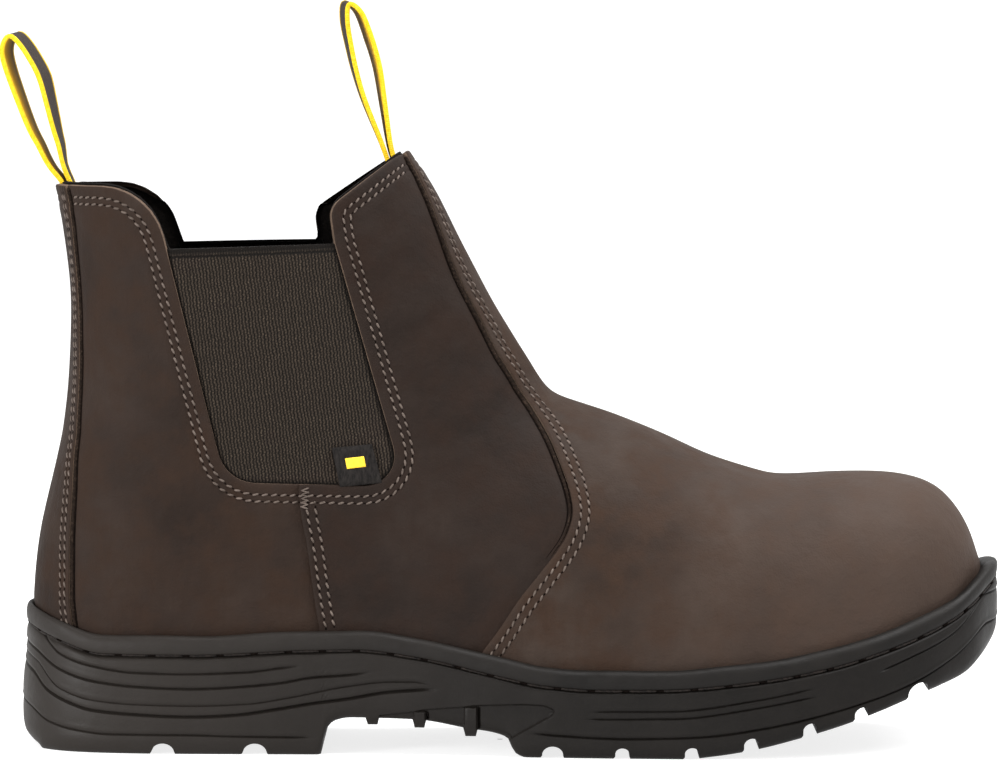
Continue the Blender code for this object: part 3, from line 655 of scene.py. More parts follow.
def leather_look(name, tone, dark, middle, light, worn, tilt, toe=0.0):
    k = Look(name, 0.75, tone, Specular_IOR_Level=0.07)
    patches = k.noise(26, 3.0, 0.55)
    clouds = k.noise(75, 4.0, 0.6, turn=tilt)
    fine = k.noise(420, 3.0, 0.6)
    nap = k.noise(900, 2.0, 0.6, stretch=(1.0, 1.0, 0.16))
    base = k.ramp(patches, [(0.34, dark), (0.5, middle), (0.66, light)])
    base = k.mix(k.band(clouds, 0.42, 0.64), base, worn)
    base = k.mix(k.band(fine, 0.3, 0.8, 0.0, 0.16), base, light)
    base = k.mix(k.band(nap, 0.35, 0.75, 0.0, 0.20), base, dark)
    # paler towards the toe, its edge broken up by the patches: painted light from above and the toe side
    if toe:
        apart = k.new("ShaderNodeSeparateXYZ")
        k.link(k.where, apart.inputs[0])
        toe_painted_light = k.maths("ADD", apart.outputs["X"], k.maths("MULTIPLY", patches, 0.03))
        base = k.mix(k.band(toe_painted_light, 0.045, 0.135, 0.0, toe), base, lin(112, 94, 84))
    edge = k.value("edge")
    base = k.mix(k.maths("MULTIPLY", edge, 0.30), base, light)
    pores = k.cells(1500)
    height = k.maths("ADD", k.maths("MULTIPLY", nap, 0.55), k.maths("MULTIPLY", pores, 0.5))
    height = k.maths("ADD", height, k.maths("MULTIPLY", fine, 0.5))
    soft = k.bump(k.noise(70, 3.0), 0.0011)
    normal = k.bump(height, 0.00016, soft)
    return k.done(base, k.band(clouds, 0.35, 0.7, 0.66, 0.80), normal)


# one nubuck in three tones: the vamp's higher tone is painted light from above and the toe side, the front quarters'
# lower tone is painted shade, and the rear quarters and back strip lie between
LEATHER = leather_look("brown nubuck leather", 0.27, lin(60, 47, 40), lin(71, 56, 48), lin(83, 67, 58), lin(77, 58, 47), 0.5)
FRONT_LEATHER_SHADED = leather_look("brown nubuck leather, front quarter", 0.21, lin(60, 48, 42), lin(71, 57, 50), lin(83, 68, 60), lin(76, 58, 49), 0.2)
VAMP_LEATHER_LIT = leather_look("brown nubuck leather, vamp", 0.32, lin(60, 47, 40), lin(72, 58, 50), lin(86, 71, 62), lin(79, 59, 47), -0.7, 0.62)

k = Look("raw leather edge", 0.85, 0.6, Specular_IOR_Level=0.05)
RAW_EDGE = k.done(k.ramp(k.noise(700, 3.0), [(0.3, lin(84, 70, 60)), (0.7, lin(112, 94, 80))]),
                  None, k.bump(k.noise(1600, 2.0), 0.0001))

k = Look("waxed seam thread", 0.6, 0.50, Specular_IOR_Level=0.15)
THREAD = k.done(k.ramp(k.noise(500, 2.0), [(0.3, lin(92, 80, 72)), (0.7, lin(126, 112, 103))]),
                None, k.bump(k.noise(3000, 1.0, stretch=(1, 1, 1)), 0.00006))
# near-black for needle holes and welt thread holes, and for the thin tubes beside the piping, which are painted shadow
k = Look("needle hole", 0.95, 0.7, Specular_IOR_Level=0.0)
HOLE_AND_SHADOW_DARK = k.done(k.ramp(k.noise(900), [(0.3, lin(12, 9, 8)), (0.7, lin(24, 19, 17))]))

k = Look("dark knit piping", 0.9, 0.5, Specular_IOR_Level=0.05)
PIPING = k.done(k.ramp(k.noise(1100, 3.0, 0.7), [(0.32, lin(26, 20, 16)), (0.55, lin(45, 35, 29)), (0.72, lin(78, 64, 54))]),
                None, k.bump(k.noise(2200, 2.0), 0.00022))

# near-black colour: painted shade of the inside of the shaft, laid on the lining
k = Look("lining cloth, painted shade", 0.95, 0.4, Specular_IOR_Level=0.05)
LINING_PAINTED_SHADE = k.done(k.ramp(k.noise(800, 3.0), [(0.3, lin(14, 12, 11)), (0.7, lin(30, 26, 24))]),
                None, k.bump(k.noise(1500, 2.0), 0.0002))

k = Look("brown knit elastic", 0.92, 0.50, Specular_IOR_Level=0.05, Sheen_Weight=0.04, Sheen_Roughness=0.6)
rise, fleck = k.value("rise"), k.noise(1300, 2.0, 0.7)
wool = k.ramp(k.noise(2400, 2.0, 0.7), [(0.35, lin(52, 44, 37)), (0.52, lin(70, 60, 51)), (0.7, lin(98, 85, 72))])
# low rise, in the valleys between ribs, in the line at the selvedge's foot and along the rim under the leather, turns
# the colour near-black: painted shade
ELASTIC = k.done(k.mix(k.band(rise, 0.25, 0.85), lin(20, 16, 13), wool), None, k.bump(fleck, 0.0002))

k = Look("black moulded rubber", 0.45, 0.20, Specular_IOR_Level=0.11)
grime = k.noise(45, 4.0, 0.6)
# paler towards the heel through the ramp along x: painted light from the heel side
RUBBER = k.done(paler_to_heel_painted_light(k, k.mix(k.band(k.noise(900, 2.0), 0.35, 0.75, 0.0, 0.35), k.ramp(grime, [(0.3, lin(36, 32, 29)), (0.7, lin(50, 45, 41))]), lin(58, 53, 49))),
                k.band(grime, 0.3, 0.7, 0.42, 0.6), k.bump(k.noise(1500, 3.0), 0.00006, k.bump(k.noise(120, 2.0), 0.0003)))
k = Look("black welt rubber", 0.40, 0.20, Specular_IOR_Level=0.13)
grime = k.noise(60, 4.0, 0.6)
# paler towards the heel through the ramp along x: painted light from the heel side
WELT_RUBBER = k.done(paler_to_heel_painted_light(k, k.ramp(grime, [(0.3, lin(38, 34, 31)), (0.7, lin(54, 49, 45))])),
                     k.band(grime, 0.3, 0.7, 0.46, 0.66), k.bump(k.noise(1200, 3.0), 0.00007, k.bump(k.noise(90, 2.0), 0.0006)))

k = Look("black insole cloth", 0.95, 0.6)
FOOTBED = k.done(k.ramp(k.noise(700, 3.0), [(0.3, lin(24, 22, 21)), (0.7, lin(44, 41, 39))]),
                 None, k.bump(k.cells(700), 0.0004))

k = Look("dark welt thread", 0.6, 0.25, Specular_IOR_Level=0.1)
WELT_THREAD = k.done(k.ramp(k.noise(1500, 2.0), [(0.35, lin(30, 26, 24)), (0.7, lin(74, 64, 58))]),
                     None, k.bump(k.noise(3000, 1.0), 0.0001))

# --------------------------------------------------------- the upper's face
LENGTHS = section_lengths()
FINE_ROWS = np.interp(np.linspace(0, LENGTHS[-1], 340), LENGTHS, np.arange(len(SECTIONS)))
FINE_HALF = 112
FACE = last_surface(FINE_ROWS, FINE_HALF)
FACE_N = grid_normals(FACE, True)
if ((FACE - FACE.mean(axis=1, keepdims=True)) * FACE_N).sum() < 0:
    FACE_N = -FACE_N
SHELL = Net(FACE.reshape(-1, 3), FACE_N.reshape(-1, 3), grid_tris(*FACE.shape[:2], True))
a, b, c = (SHELL.p[SHELL.t[:, i]] for i in range(3))
if (np.cross(b - a, c - a) * SHELL.n[SHELL.t[:, 0]]).sum() < 0:
    SHELL.t = SHELL.t[:, [0, 2, 1]]
TREE = BVHTree.FromPolygons([tuple(p) for p in SHELL.p.tolist()], SHELL.t.tolist())


def cast(x, z, side, tree=None):
    """The surface point seen at (x, z) from the lateral (-1) or medial (1) side, and its normal."""
    hit = (tree or TREE).ray_cast(Vector((x, side * 220.0, z)), Vector((0.0, -side, 0.0)))
    return (None, None) if hit[0] is None else (np.array(hit[0]), np.array(hit[1]))


def on_face(x, z, side):
    """Points and smoothed normals along a side-view line."""
    found = [cast(float(a), float(b), side) for a, b in zip(x, z)]
    found = [f for f in found if f[0] is not None]
    points = np.array([f[0] for f in found])
    normals = soften(np.array([f[1] for f in found]), 6)
    return points, normals / np.linalg.norm(normals, axis=1)[:, None]


def beside(points, normals, off):
    """The same line moved sideways over the surface, positive towards the toe."""
    along = np.gradient(soften(points, 4), axis=0)
    along /= np.linalg.norm(along, axis=1)[:, None]
    across = np.cross(normals, along)
    across *= np.sign(across[:, 0].sum() if abs(across[:, 0].sum()) > abs(across[:, 2].sum()) else -across[:, 2].sum())
    moved = [TREE.find_nearest(Vector(p)) for p in points + across * off]
    p = np.array([m[0] for m in moved])
    n = soften(np.array([m[1] for m in moved]), 6)
    return p, n / np.linalg.norm(n, axis=1)[:, None]


# Seams seen from the side: height, and x there.
SEAM_COLUMNS = ("z", "x")
VAMP_SEAM = ((22.0, -12.5), (31.8, -6.3), (39.1, -0.9), (48.6, 5.5), (57.1, 12.3), (63.8, 17.5), (68.3, 20.2),
             (74.5, 21.7), (79.9, 20.9), (87.8, 18.2), (95.8, 14.8), (104.4, 9.9), (113.3, 4.3), (121.7, -1.2),
             (129.8, -5.3), (140.4, -10.8), (149.4, -14.9), (161.1, -19.2), (171.3, -23.2), (179.6, -27.3),
             (184.0, -29.8), (192.0, -34.5))
SIDE_SEAM = ((22.0, -52.0), (37.7, -55.3), (51.5, -57.6), (63.8, -59.2), (75.5, -61.2), (84.0, -61.6), (200.0, -61.6))
STRIP_SEAM = ((22.0, -130.6), (38.5, -131.4), (48.0, -132.2), (63.7, -132.2), (81.2, -131.4), (93.4, -131.0),
              (105.7, -130.1), (118.4, -129.6), (129.7, -129.6), (141.5, -130.0), (154.5, -131.0), (167.2, -132.3),
              (176.0, -133.8), (190.0, -136.0))


def seam_x(table, z):
    return monotone(column(table, SEAM_COLUMNS, "z"), column(table, SEAM_COLUMNS, "x"), z)


SIDES = {"lateral": -1, "medial": 1}
SIDE_OF = np.where(SHELL.p[:, 1] < LOOP_Y, -1, 1)


def seam_value(table, low, high):
    """Signed distance of every point to the seam on its own side, positive towards the toe."""
    out = np.zeros(len(SHELL.p))
    for side in (-1, 1):
        z = np.arange(low, high, 0.8)
        line, _ = on_face(seam_x(table, z), z, side)
        mine = SIDE_OF == side
        d = distance(SHELL.p[mine], line)
        out[mine] = d * np.sign(SHELL.p[mine, 0] - seam_x(table, SHELL.p[mine, 2]))
    return out


opening = np.where(SIDE_OF < 0, inside_distance(SHELL.p[:, 0], SHELL.p[:, 2], collar_outline("lateral")),
                   inside_distance(SHELL.p[:, 0], SHELL.p[:, 2], collar_outline("medial")))
SHELL.v["open"] = opening
SHELL.v["foot"] = SHELL.p[:, 2] - feather(SHELL.p[:, 0])
SHELL.v["vamp"] = seam_value(VAMP_SEAM, 24.0, 192.0)
SHELL.v["side"] = seam_value(SIDE_SEAM, 24.0, 84.0)
SHELL.v["strip"] = seam_value(STRIP_SEAM, 30.0, 182.0)
SHELL.v["lat"] = SIDE_OF.astype(float)

# Soft creases and dents: side (-1 outer, 1 inner), start and end in the side
# view, half width, and height (negative is a trough).
CREASE_COLUMNS = ("side", "x0", "z0", "x1", "z1", "half", "height")
CREASES = (
    (-1, 84.0, 84.0, 92.0, 46.0, 7.0, -0.55), (1, 84.0, 84.0, 92.0, 46.0, 7.0, -0.55),
    (-1, 99.0, 80.0, 106.0, 50.0, 8.0, 0.35), (1, 99.0, 80.0, 106.0, 50.0, 8.0, 0.35),
    (-1, 26.0, 100.0, 50.0, 74.0, 7.5, -0.6), (1, 26.0, 100.0, 50.0, 74.0, 7.5, -0.6),
    (-1, 40.0, 96.0, 66.0, 72.0, 8.0, 0.4), (1, 40.0, 96.0, 66.0, 72.0, 8.0, 0.4),
    (-1, 10.0, 116.0, -22.0, 92.0, 7.0, -0.45), (1, 10.0, 116.0, -22.0, 92.0, 7.0, -0.45),
    (-1, -14.0, 142.0, -34.0, 124.0, 6.5, -0.35), (1, -14.0, 142.0, -34.0, 124.0, 6.5, -0.35),
    (-1, -24.0, 168.0, -42.0, 148.0, 6.0, 0.30), (1, -22.0, 168.0, -42.0, 148.0, 6.0, 0.30),
    (-1, -134.0, 98.0, -104.0, 88.0, 7.0, -0.50), (1, -134.0, 98.0, -104.0, 88.0, 7.0, -0.50),
    (-1, -128.0, 122.0, -106.0, 116.0, 7.0, -0.40), (1, -128.0, 122.0, -106.0, 116.0, 7.0, -0.40),
    (-1, -116.0, 58.0, -78.0, 52.0, 9.0, 0.35), (1, -116.0, 58.0, -78.0, 52.0, 9.0, 0.35),
    (-1, -40.0, 70.0, -14.0, 58.0, 8.0, -0.35), (1, -40.0, 70.0, -14.0, 58.0, 8.0, -0.35),
    (-1, -48.0, 54.0, -20.0, 46.0, 7.0, 0.30), (-1, 40.0, 56.0, 78.0, 48.0, 10.0, -0.30),
    (1, 36.0, 56.0, 70.0, 46.0, 9.0, -0.35),
)


def creases(points, side):
    h = np.zeros(len(points))
    for row in CREASES:
        c = dict(zip(CREASE_COLUMNS, row))
        a, b = np.array([c["x0"], c["z0"]]), np.array([c["x1"], c["z1"]])
        q = points[:, [0, 2]] - a
        size = np.linalg.norm(b - a)
        u = (b - a) / size
        t = q @ u
        across = q[:, 0] * u[1] - q[:, 1] * u[0] + 2.2 * np.sin(t / size * math.pi)
        ends = smooth((t + 6) / 14) * smooth((size + 6 - t) / 14)
        h += np.where(side == c["side"], c["height"] * ends * np.exp(-(across / c["half"])**2 * 2.2), 0.0)
    wave = (np.sin(points[:, 0] * 0.11 + points[:, 2] * 0.07) * np.sin(points[:, 2] * 0.093 - points[:, 0] * 0.05 + 1.3)
            + 0.6 * np.sin(points[:, 0] * 0.23 - points[:, 2] * 0.19 + points[:, 1] * 0.1))
    return h + 0.10 * wave * smooth((points[:, 2] - 30) / 20)


def fall(distance_mm, reach):
    return 1.0 - smooth(distance_mm / reach)


STITCH_ROWS = (3.4, 5.5)


def relief(net):
    """How far the leather stands off the shell: creases, seam pulls and stitch troughs."""
    h = creases(net.p, net.v["lat"])
    op, foot = net.v["open"], net.v["foot"]
    h += -0.35 * np.maximum(0, 1 - op / 0.6)**2
    rows = lambda d, at, deep: -deep * np.exp(-((d - at) / 0.55)**2)
    for at in STITCH_ROWS:
        h += rows(op, at, 0.16)
    h += 0.10 * np.exp(-((op - 7.6) / 1.6)**2)
    h += -0.25 * fall(foot, 3.0)
    return h


COVER_FACES = []


def panel(name, net, mat, parts, over=(), under=(), nodes=()):
    """One leather panel: over lists the values whose zero line is its raw edge,
    under those past which it runs beneath its neighbour."""
    for key, sign, rise, rows in over:
        net.v["_d"] = net.v[key] * sign
        net = net.levels("_d", (0.25, 0.7, 1.6))
    net = net.levels("open", (0.25, 0.7, STITCH_ROWS[0] - 0.6, STITCH_ROWS[0], STITCH_ROWS[0] + 0.6,
                              STITCH_ROWS[1] - 0.6, STITCH_ROWS[1], STITCH_ROWS[1] + 0.6))
    h = relief(net)
    raw = np.minimum(net.v["open"], 6.0)
    for key, sign, rise, rows in over:
        d = net.v[key] * sign
        h += rise * fall(d, 9.0) - 0.30 * np.maximum(0, 1 - d / 0.6)**2
        for at in rows:
            h += -0.16 * np.exp(-((d - at) / 0.55)**2)
        raw = np.minimum(raw, d)
    for key, sign, sink in under:
        d = net.v[key] * sign
        h += -sink * fall(d, 3.5)
    net.v["edge"] = fall(raw - 0.1, 1.3)
    net.p = net.p + net.n * h[:, None]
    COVER_FACES.append((net.p.copy(), net.t.copy()))
    walls = net.skirt(1.9)
    index = np.zeros(len(net.t), int)
    index[walls] = 1
    obj = make(name, net.p, net.t, [mat, RAW_EDGE], index, {"edge": net.v["edge"]})
    return ride(obj, "leather", *nodes)


BODY = SHELL.split(SHELL.v["open"], 1)
BODY = BODY.split(BODY.v["foot"] + 3.2, 1)
VAMP_ROWS, SIDE_ROWS, STRIP_ROWS = (2.6, 5.1), (2.0, 4.6), (1.7, 3.7)
piece = BODY.split(BODY.v["vamp"] - 0.7, 1)
piece.v["vamp"] = piece.v["vamp"] - 0.7
panel("vamp_leather", piece, VAMP_LEATHER_LIT, None, over=[("vamp", 1, 0.75, VAMP_ROWS)], nodes=["upper"])
rest = BODY.split(BODY.v["vamp"] - 2.2, -1)
piece = rest.split(rest.v["side"], 1)
panel("front_quarters", piece, FRONT_LEATHER_SHADED, None, over=[("side", 1, 0.7, SIDE_ROWS)], under=[("vamp", -1, 0.55)])
piece = rest.split(rest.v["side"] - 2.0, -1)
strip = piece.split(piece.v["strip"] + 0.6, -1)
strip.v["strip"] = strip.v["strip"] + 0.6
piece = piece.split(piece.v["strip"] + 1.6, 1)
panel("rear_quarters", piece, LEATHER, None, under=[("side", -1, 0.5), ("strip", 1, 0.5)])
panel("back_strip", strip, LEATHER, None, over=[("strip", -1, 0.6, STRIP_ROWS)])


# lining: a thinner shell inside, its rim a little above the leather
def shell_inside(depth, rise, step):
    rows = np.interp(np.linspace(0, LENGTHS[-1], step), LENGTHS, np.arange(len(SECTIONS)))
    grid = last_surface(rows, 64)
    normal = grid_normals(grid, True)
    if ((grid - grid.mean(axis=1, keepdims=True)) * normal).sum() < 0:
        normal = -normal
    net = Net((grid - normal * depth).reshape(-1, 3), normal.reshape(-1, 3), grid_tris(*grid.shape[:2], True))
    lat = np.where(net.p[:, 1] < LOOP_Y, -1, 1)
    outlines = {-1: collar_line("lateral", rise), 1: collar_line("medial", rise, 2.2)}
    for side in (-1, 1):
        value = inside_distance(net.p[:, 0], net.p[:, 2], outlines[side])
        net.v["open"] = value if side < 0 else np.where(lat > 0, value, net.v["open"])
    net = net.split(net.v["open"], 1)
    return net.split(net.p[:, 2] - feather(net.p[:, 0]) + 6.0, 1)


def collar_line(side, rise, low=0.0):
    """The topline as if the gore had no leather cut below it, lifted by rise."""
    g = dict(zip(GORE_COLUMNS, GORES[side]))
    top = [(x, z) for x, z in collar_outline(side)]
    low_rear = (g["rear_top"] + 1.0, g["top_rear_z"] - 1.6)
    low_front = (g["front_top"] - 1.0, g["top_front_z"] - 1.6)
    kept = [p for p in top if p[1] >= min(low_rear[1], low_front[1])]
    rear = [p for p in kept if p[0] < -75]
    front = [p for p in kept if p[0] >= -75]
    line = rear + [low_rear, low_front] + front
    return [(x, z + rise - low * (168.0 < z < 200.0)) for x, z in line]


net = shell_inside(2.3, 0.9, 200)
net.skirt(1.6)
ride(make("lining", net.p, net.t, [LINING_PAINTED_SHADE]), "elastic")


# ------------------------------------------------------------------ threads
def frames(points):
    along = np.gradient(points, axis=0)
    return along / np.maximum(np.linalg.norm(along, axis=1), 1e-9)[:, None]


def stitches(lines, pitch, length, radius, lift, slant):
    """Capsule stitches laid along lines of (points, normals), and dark holes between them."""
    rings, sides = 7, 6
    t = np.linspace(-1, 1, rings)
    girth = np.sqrt(np.maximum(0, 1 - np.abs(t)**3.2)) * 0.9 + 0.1
    arch = 1 - t**2 * 1.35
    angle = np.arange(sides) / sides * 2 * math.pi
    body, holes = [], []
    for points, normals in lines:
        run = np.concatenate([[0], np.cumsum(np.linalg.norm(np.diff(points, axis=0), axis=1))])
        count = int(run[-1] / pitch)
        if count < 1:
            continue
        at = (np.arange(count) + 0.5) * run[-1] / count
        look = lambda s, v: np.stack([np.interp(s, run, v[:, a]) for a in range(3)], 1)
        p, n, d = look(at, points), look(at, normals), look(at, frames(points))
        n /= np.linalg.norm(n, axis=1)[:, None]
        side = np.cross(n, d)
        d = d + side * slant
        d /= np.linalg.norm(d, axis=1)[:, None]
        side = np.cross(n, d)
        x = (t * length / 2)[None, :, None, None] * d[:, None, None, :]
        y = (radius * girth[:, None] * np.cos(angle)[None, :])[None, :, :, None] * side[:, None, None, :]
        z = (radius * girth[:, None] * np.sin(angle)[None, :] + (arch * lift)[:, None])[None, :, :, None] * n[:, None, None, :]
        body.append((p[:, None, None, :] + x + y + z).reshape(-1, 3))
        h = look(np.clip((np.arange(count + 1)) * run[-1] / count, 0, run[-1]), points)
        hn = look(np.clip((np.arange(count + 1)) * run[-1] / count, 0, run[-1]), normals)
        hn /= np.linalg.norm(hn, axis=1)[:, None]
        hd = look(np.clip((np.arange(count + 1)) * run[-1] / count, 0, run[-1]), frames(points))
        hs = np.cross(hn, hd)
        disc = np.arange(8) / 8 * 2 * math.pi
        edge = (h[:, None] + hn[:, None] * 0.02 + (np.cos(disc)[None, :, None] * hd[:, None] * 0.42
                                                   + np.sin(disc)[None, :, None] * hs[:, None] * 0.30))
        holes.append(np.concatenate([edge, h[:, None] + hn[:, None] * 0.10], 1).reshape(-1, 3))
    points = np.concatenate(body)
    each = rings * sides
    count = len(points) // each
    j = np.arange(sides)
    quads = np.concatenate([np.stack([i * sides + j, i * sides + (j + 1) % sides, (i + 1) * sides + (j + 1) % sides,
                                      (i + 1) * sides + j], 1) for i in range(rings - 1)])
    tris = np.concatenate([quads[:, [0, 1, 2]], quads[:, [0, 2, 3]],
                           [[0, i + 1, i] for i in range(1, sides - 1)],
                           [[each - sides, each - sides + i, each - sides + i + 1] for i in range(1, sides - 1)]])
    faces = (tris[None] + (np.arange(count) * each)[:, None, None]).reshape(-1, 3)
    spots = np.concatenate(holes)
    many = len(spots) // 9
    fan = np.array([[i, (i + 1) % 8, 8] for i in range(8)])
    spot_faces = (fan[None] + (np.arange(many) * 9)[:, None, None]).reshape(-1, 3)
    return points, faces, spots, spot_faces


def tube(points, normals, radius, sides=12, twist=0.0, strands=0, swell=0.0):
    """A cord along a line; strands and twist give it a laid surface."""
    d = frames(points)
    side = np.cross(normals, d)
    run = np.concatenate([[0], np.cumsum(np.linalg.norm(np.diff(points, axis=0), axis=1))])
    angle = np.arange(sides) / sides * 2 * math.pi
    r = np.multiply.outer(np.broadcast_to(radius, (len(points),)), np.ones(sides))
    if strands:
        r = r * (1 + swell * np.cos(strands * (angle[None, :] + twist * run[:, None])))
    r[0] *= 0.5
    r[-1] *= 0.5
    ring = (points[:, None] + (r * np.cos(angle))[..., None] * side[:, None] + (r * np.sin(angle))[..., None] * normals[:, None])
    i, j = np.meshgrid(np.arange(len(points) - 1), np.arange(sides), indexing="ij")
    a, b = i * sides + j, i * sides + (j + 1) % sides
    quads = np.stack([a, b, b + sides, a + sides], 2).reshape(-1, 4)
    tris = np.concatenate([quads[:, [0, 1, 2]], quads[:, [0, 2, 3]]])
    last = (len(points) - 1) * sides
    caps = [[0, i + 1, i] for i in range(1, sides - 1)] + [[last, last + i, last + i + 1] for i in range(1, sides - 1)]
    return ring.reshape(-1, 3), np.concatenate([tris, caps])


def joined(parts):
    points, faces, start = [], [], 0
    for p, f in parts:
        points.append(p)
        faces.append(np.asarray(f) + start)
        start += len(p)
    return np.concatenate(points), np.concatenate(faces)


start, cover_points, cover_faces = 0, [], []
for p, t in COVER_FACES:
    cover_points.append(p)
    cover_faces.append(t + start)
    start += len(p)
COVER = BVHTree.FromPolygons([tuple(p) for p in np.concatenate(cover_points).tolist()], np.concatenate(cover_faces).tolist())


def raised(points, normals, out):
    """The line laid on the creased panels, a little above or below their face."""
    laid = points.copy()
    for i, (p, n) in enumerate(zip(points, normals)):
        hit = COVER.ray_cast(Vector(p + n * 4.0), Vector(-n), 7.0)
        if hit[0] is not None:
            laid[i] = hit[0]
    step = ((laid - points) * normals).sum(axis=1)
    return points + normals * (soften(step[:, None], 2) + out), normals


def seam_line(table, side, low, high, off=0.0, step=0.5):
    z = np.arange(low, high, step)
    p, n = on_face(seam_x(table, z), z, side)
    if off:
        p, n = beside(p, n, off)
    return soften(p, 8), n


def opening_line(side, off, skip_rear, skip_front):
    """The stitch line outside the collar and gore cut-out, off from its edge."""
    ring = np.array(collar_outline(side)[1:-2])
    ring[0, 0] = -140.0
    ring = resample(ring[(ring[:, 0] > -160)], 0.4)
    ring = soften(ring, 25)
    d = np.gradient(ring, axis=0)
    d /= np.linalg.norm(d, axis=1)[:, None]
    moved = ring + np.stack([d[:, 1], -d[:, 0]], 1) * off
    moved = moved[(moved[:, 0] > skip_rear) & ((moved[:, 0] < skip_front) | (moved[:, 1] < 150))]
    p, n = on_face(moved[:, 0], moved[:, 1], SIDES[side])
    p = resample(p, 0.5)
    n = np.array([TREE.find_nearest(Vector(q))[1] for q in p])
    n = soften(n, 10)
    return soften(p, 4), n / np.linalg.norm(n, axis=1)[:, None]


rows = []
for side_name, sign in SIDES.items():
    foot = {k: float(feather(v)) + 1.0 for k, v in (("vamp", -6.0), ("side", -55.0), ("strip", -131.0))}
    for off in STITCH_ROWS:
        rows.append(raised(*opening_line(side_name, off, -131.9, -30.2 + 0.2 * off), 0.0))
    rows.append(raised(*seam_line(VAMP_SEAM, sign, foot["vamp"], 179.0, 0.7 + VAMP_ROWS[0]), 0.0))
    rows.append(raised(*seam_line(VAMP_SEAM, sign, foot["vamp"], 176.0, 0.7 + VAMP_ROWS[1]), 0.0))
    for off in SIDE_ROWS:
        rows.append(raised(*seam_line(SIDE_SEAM, sign, foot["side"], 76.0, off), 0.0))
    for off in STRIP_ROWS:
        rows.append(raised(*seam_line(STRIP_SEAM, sign, foot["strip"], 172.5, -0.6 - off), 0.0))
p, f, hp, hf = stitches(rows, 2.85, 2.1, 0.34, 0.12, 0.30)
ride(make("seam_stitches", p, f, [THREAD]), "leather")
ride(make("needle_holes", hp, hf, [HOLE_AND_SHADOW_DARK]), "leather")

# the small bar of stitches where the side seam meets the gore's foot
bars = []
for sign in (-1, 1):
    for k, z0 in enumerate(np.arange(76.0, 81.6, 0.62)):
        x = np.arange(-61.4, -57.9, 0.3)
        bars.append(raised(*on_face(x, z0 + (x + 60) * (0.35 if k % 2 else -0.35), sign), 0.10))
p, f, hp, hf = stitches(bars, 3.0, 2.7, 0.27, 0.12, 0.0)
ride(make("bar_tacks", p, f, [THREAD]), "leather")

# piping cords, and beside each a thin near-black tube that stands in for the shadow of the cord: painted shadow
cords, shade = [], []
for sign in (-1, 1):
    p, n = seam_line(VAMP_SEAM, sign, 61.0, 183.5, -0.15, 0.35)
    n = soften(n, 20)
    p, n = raised(p, n, 0.42)
    thin = np.interp(p[:, 2], [61.0, 72.0, 84.0, 150.0], [0.16, 0.36, 0.58, 0.72])
    cords.append(tube(p - n * (0.92 - thin)[:, None] * 0.7, n, thin, 12, 1.5, 3, 0.22))
    p, n = seam_line(VAMP_SEAM, sign, 60.0, 182.5, -0.95, 0.7)
    p, n = raised(p, n, -0.05)
    shade.append(tube(p, n, np.interp(p[:, 2], [60.0, 78.0], [0.10, 0.26]), 8))
    p, n = seam_line(STRIP_SEAM, sign, float(feather(-131)) - 1.0, 174.0, 0.15, 0.35)
    n = soften(n, 20)
    p, n = raised(p, n, 0.12)
    cords.append(tube(p, n, 0.62, 12, 1.7, 3, 0.22))
    p, n = seam_line(STRIP_SEAM, sign, float(feather(-131)) - 1.0, 174.0, 1.05, 0.7)
    p, n = raised(p, n, -0.05)
    shade.append(tube(p, n, 0.28, 8))
ride(make("seam_piping", *joined(cords), [PIPING]), "leather")
ride(make("seam_shadow_gap", *joined(shade), [HOLE_AND_SHADOW_DARK]), "leather")


# ----------------------------------------------------------- elastic gores
RIB_PITCH, LOOP_PITCH, SELVEDGE = 1.02, 0.86, 2.1


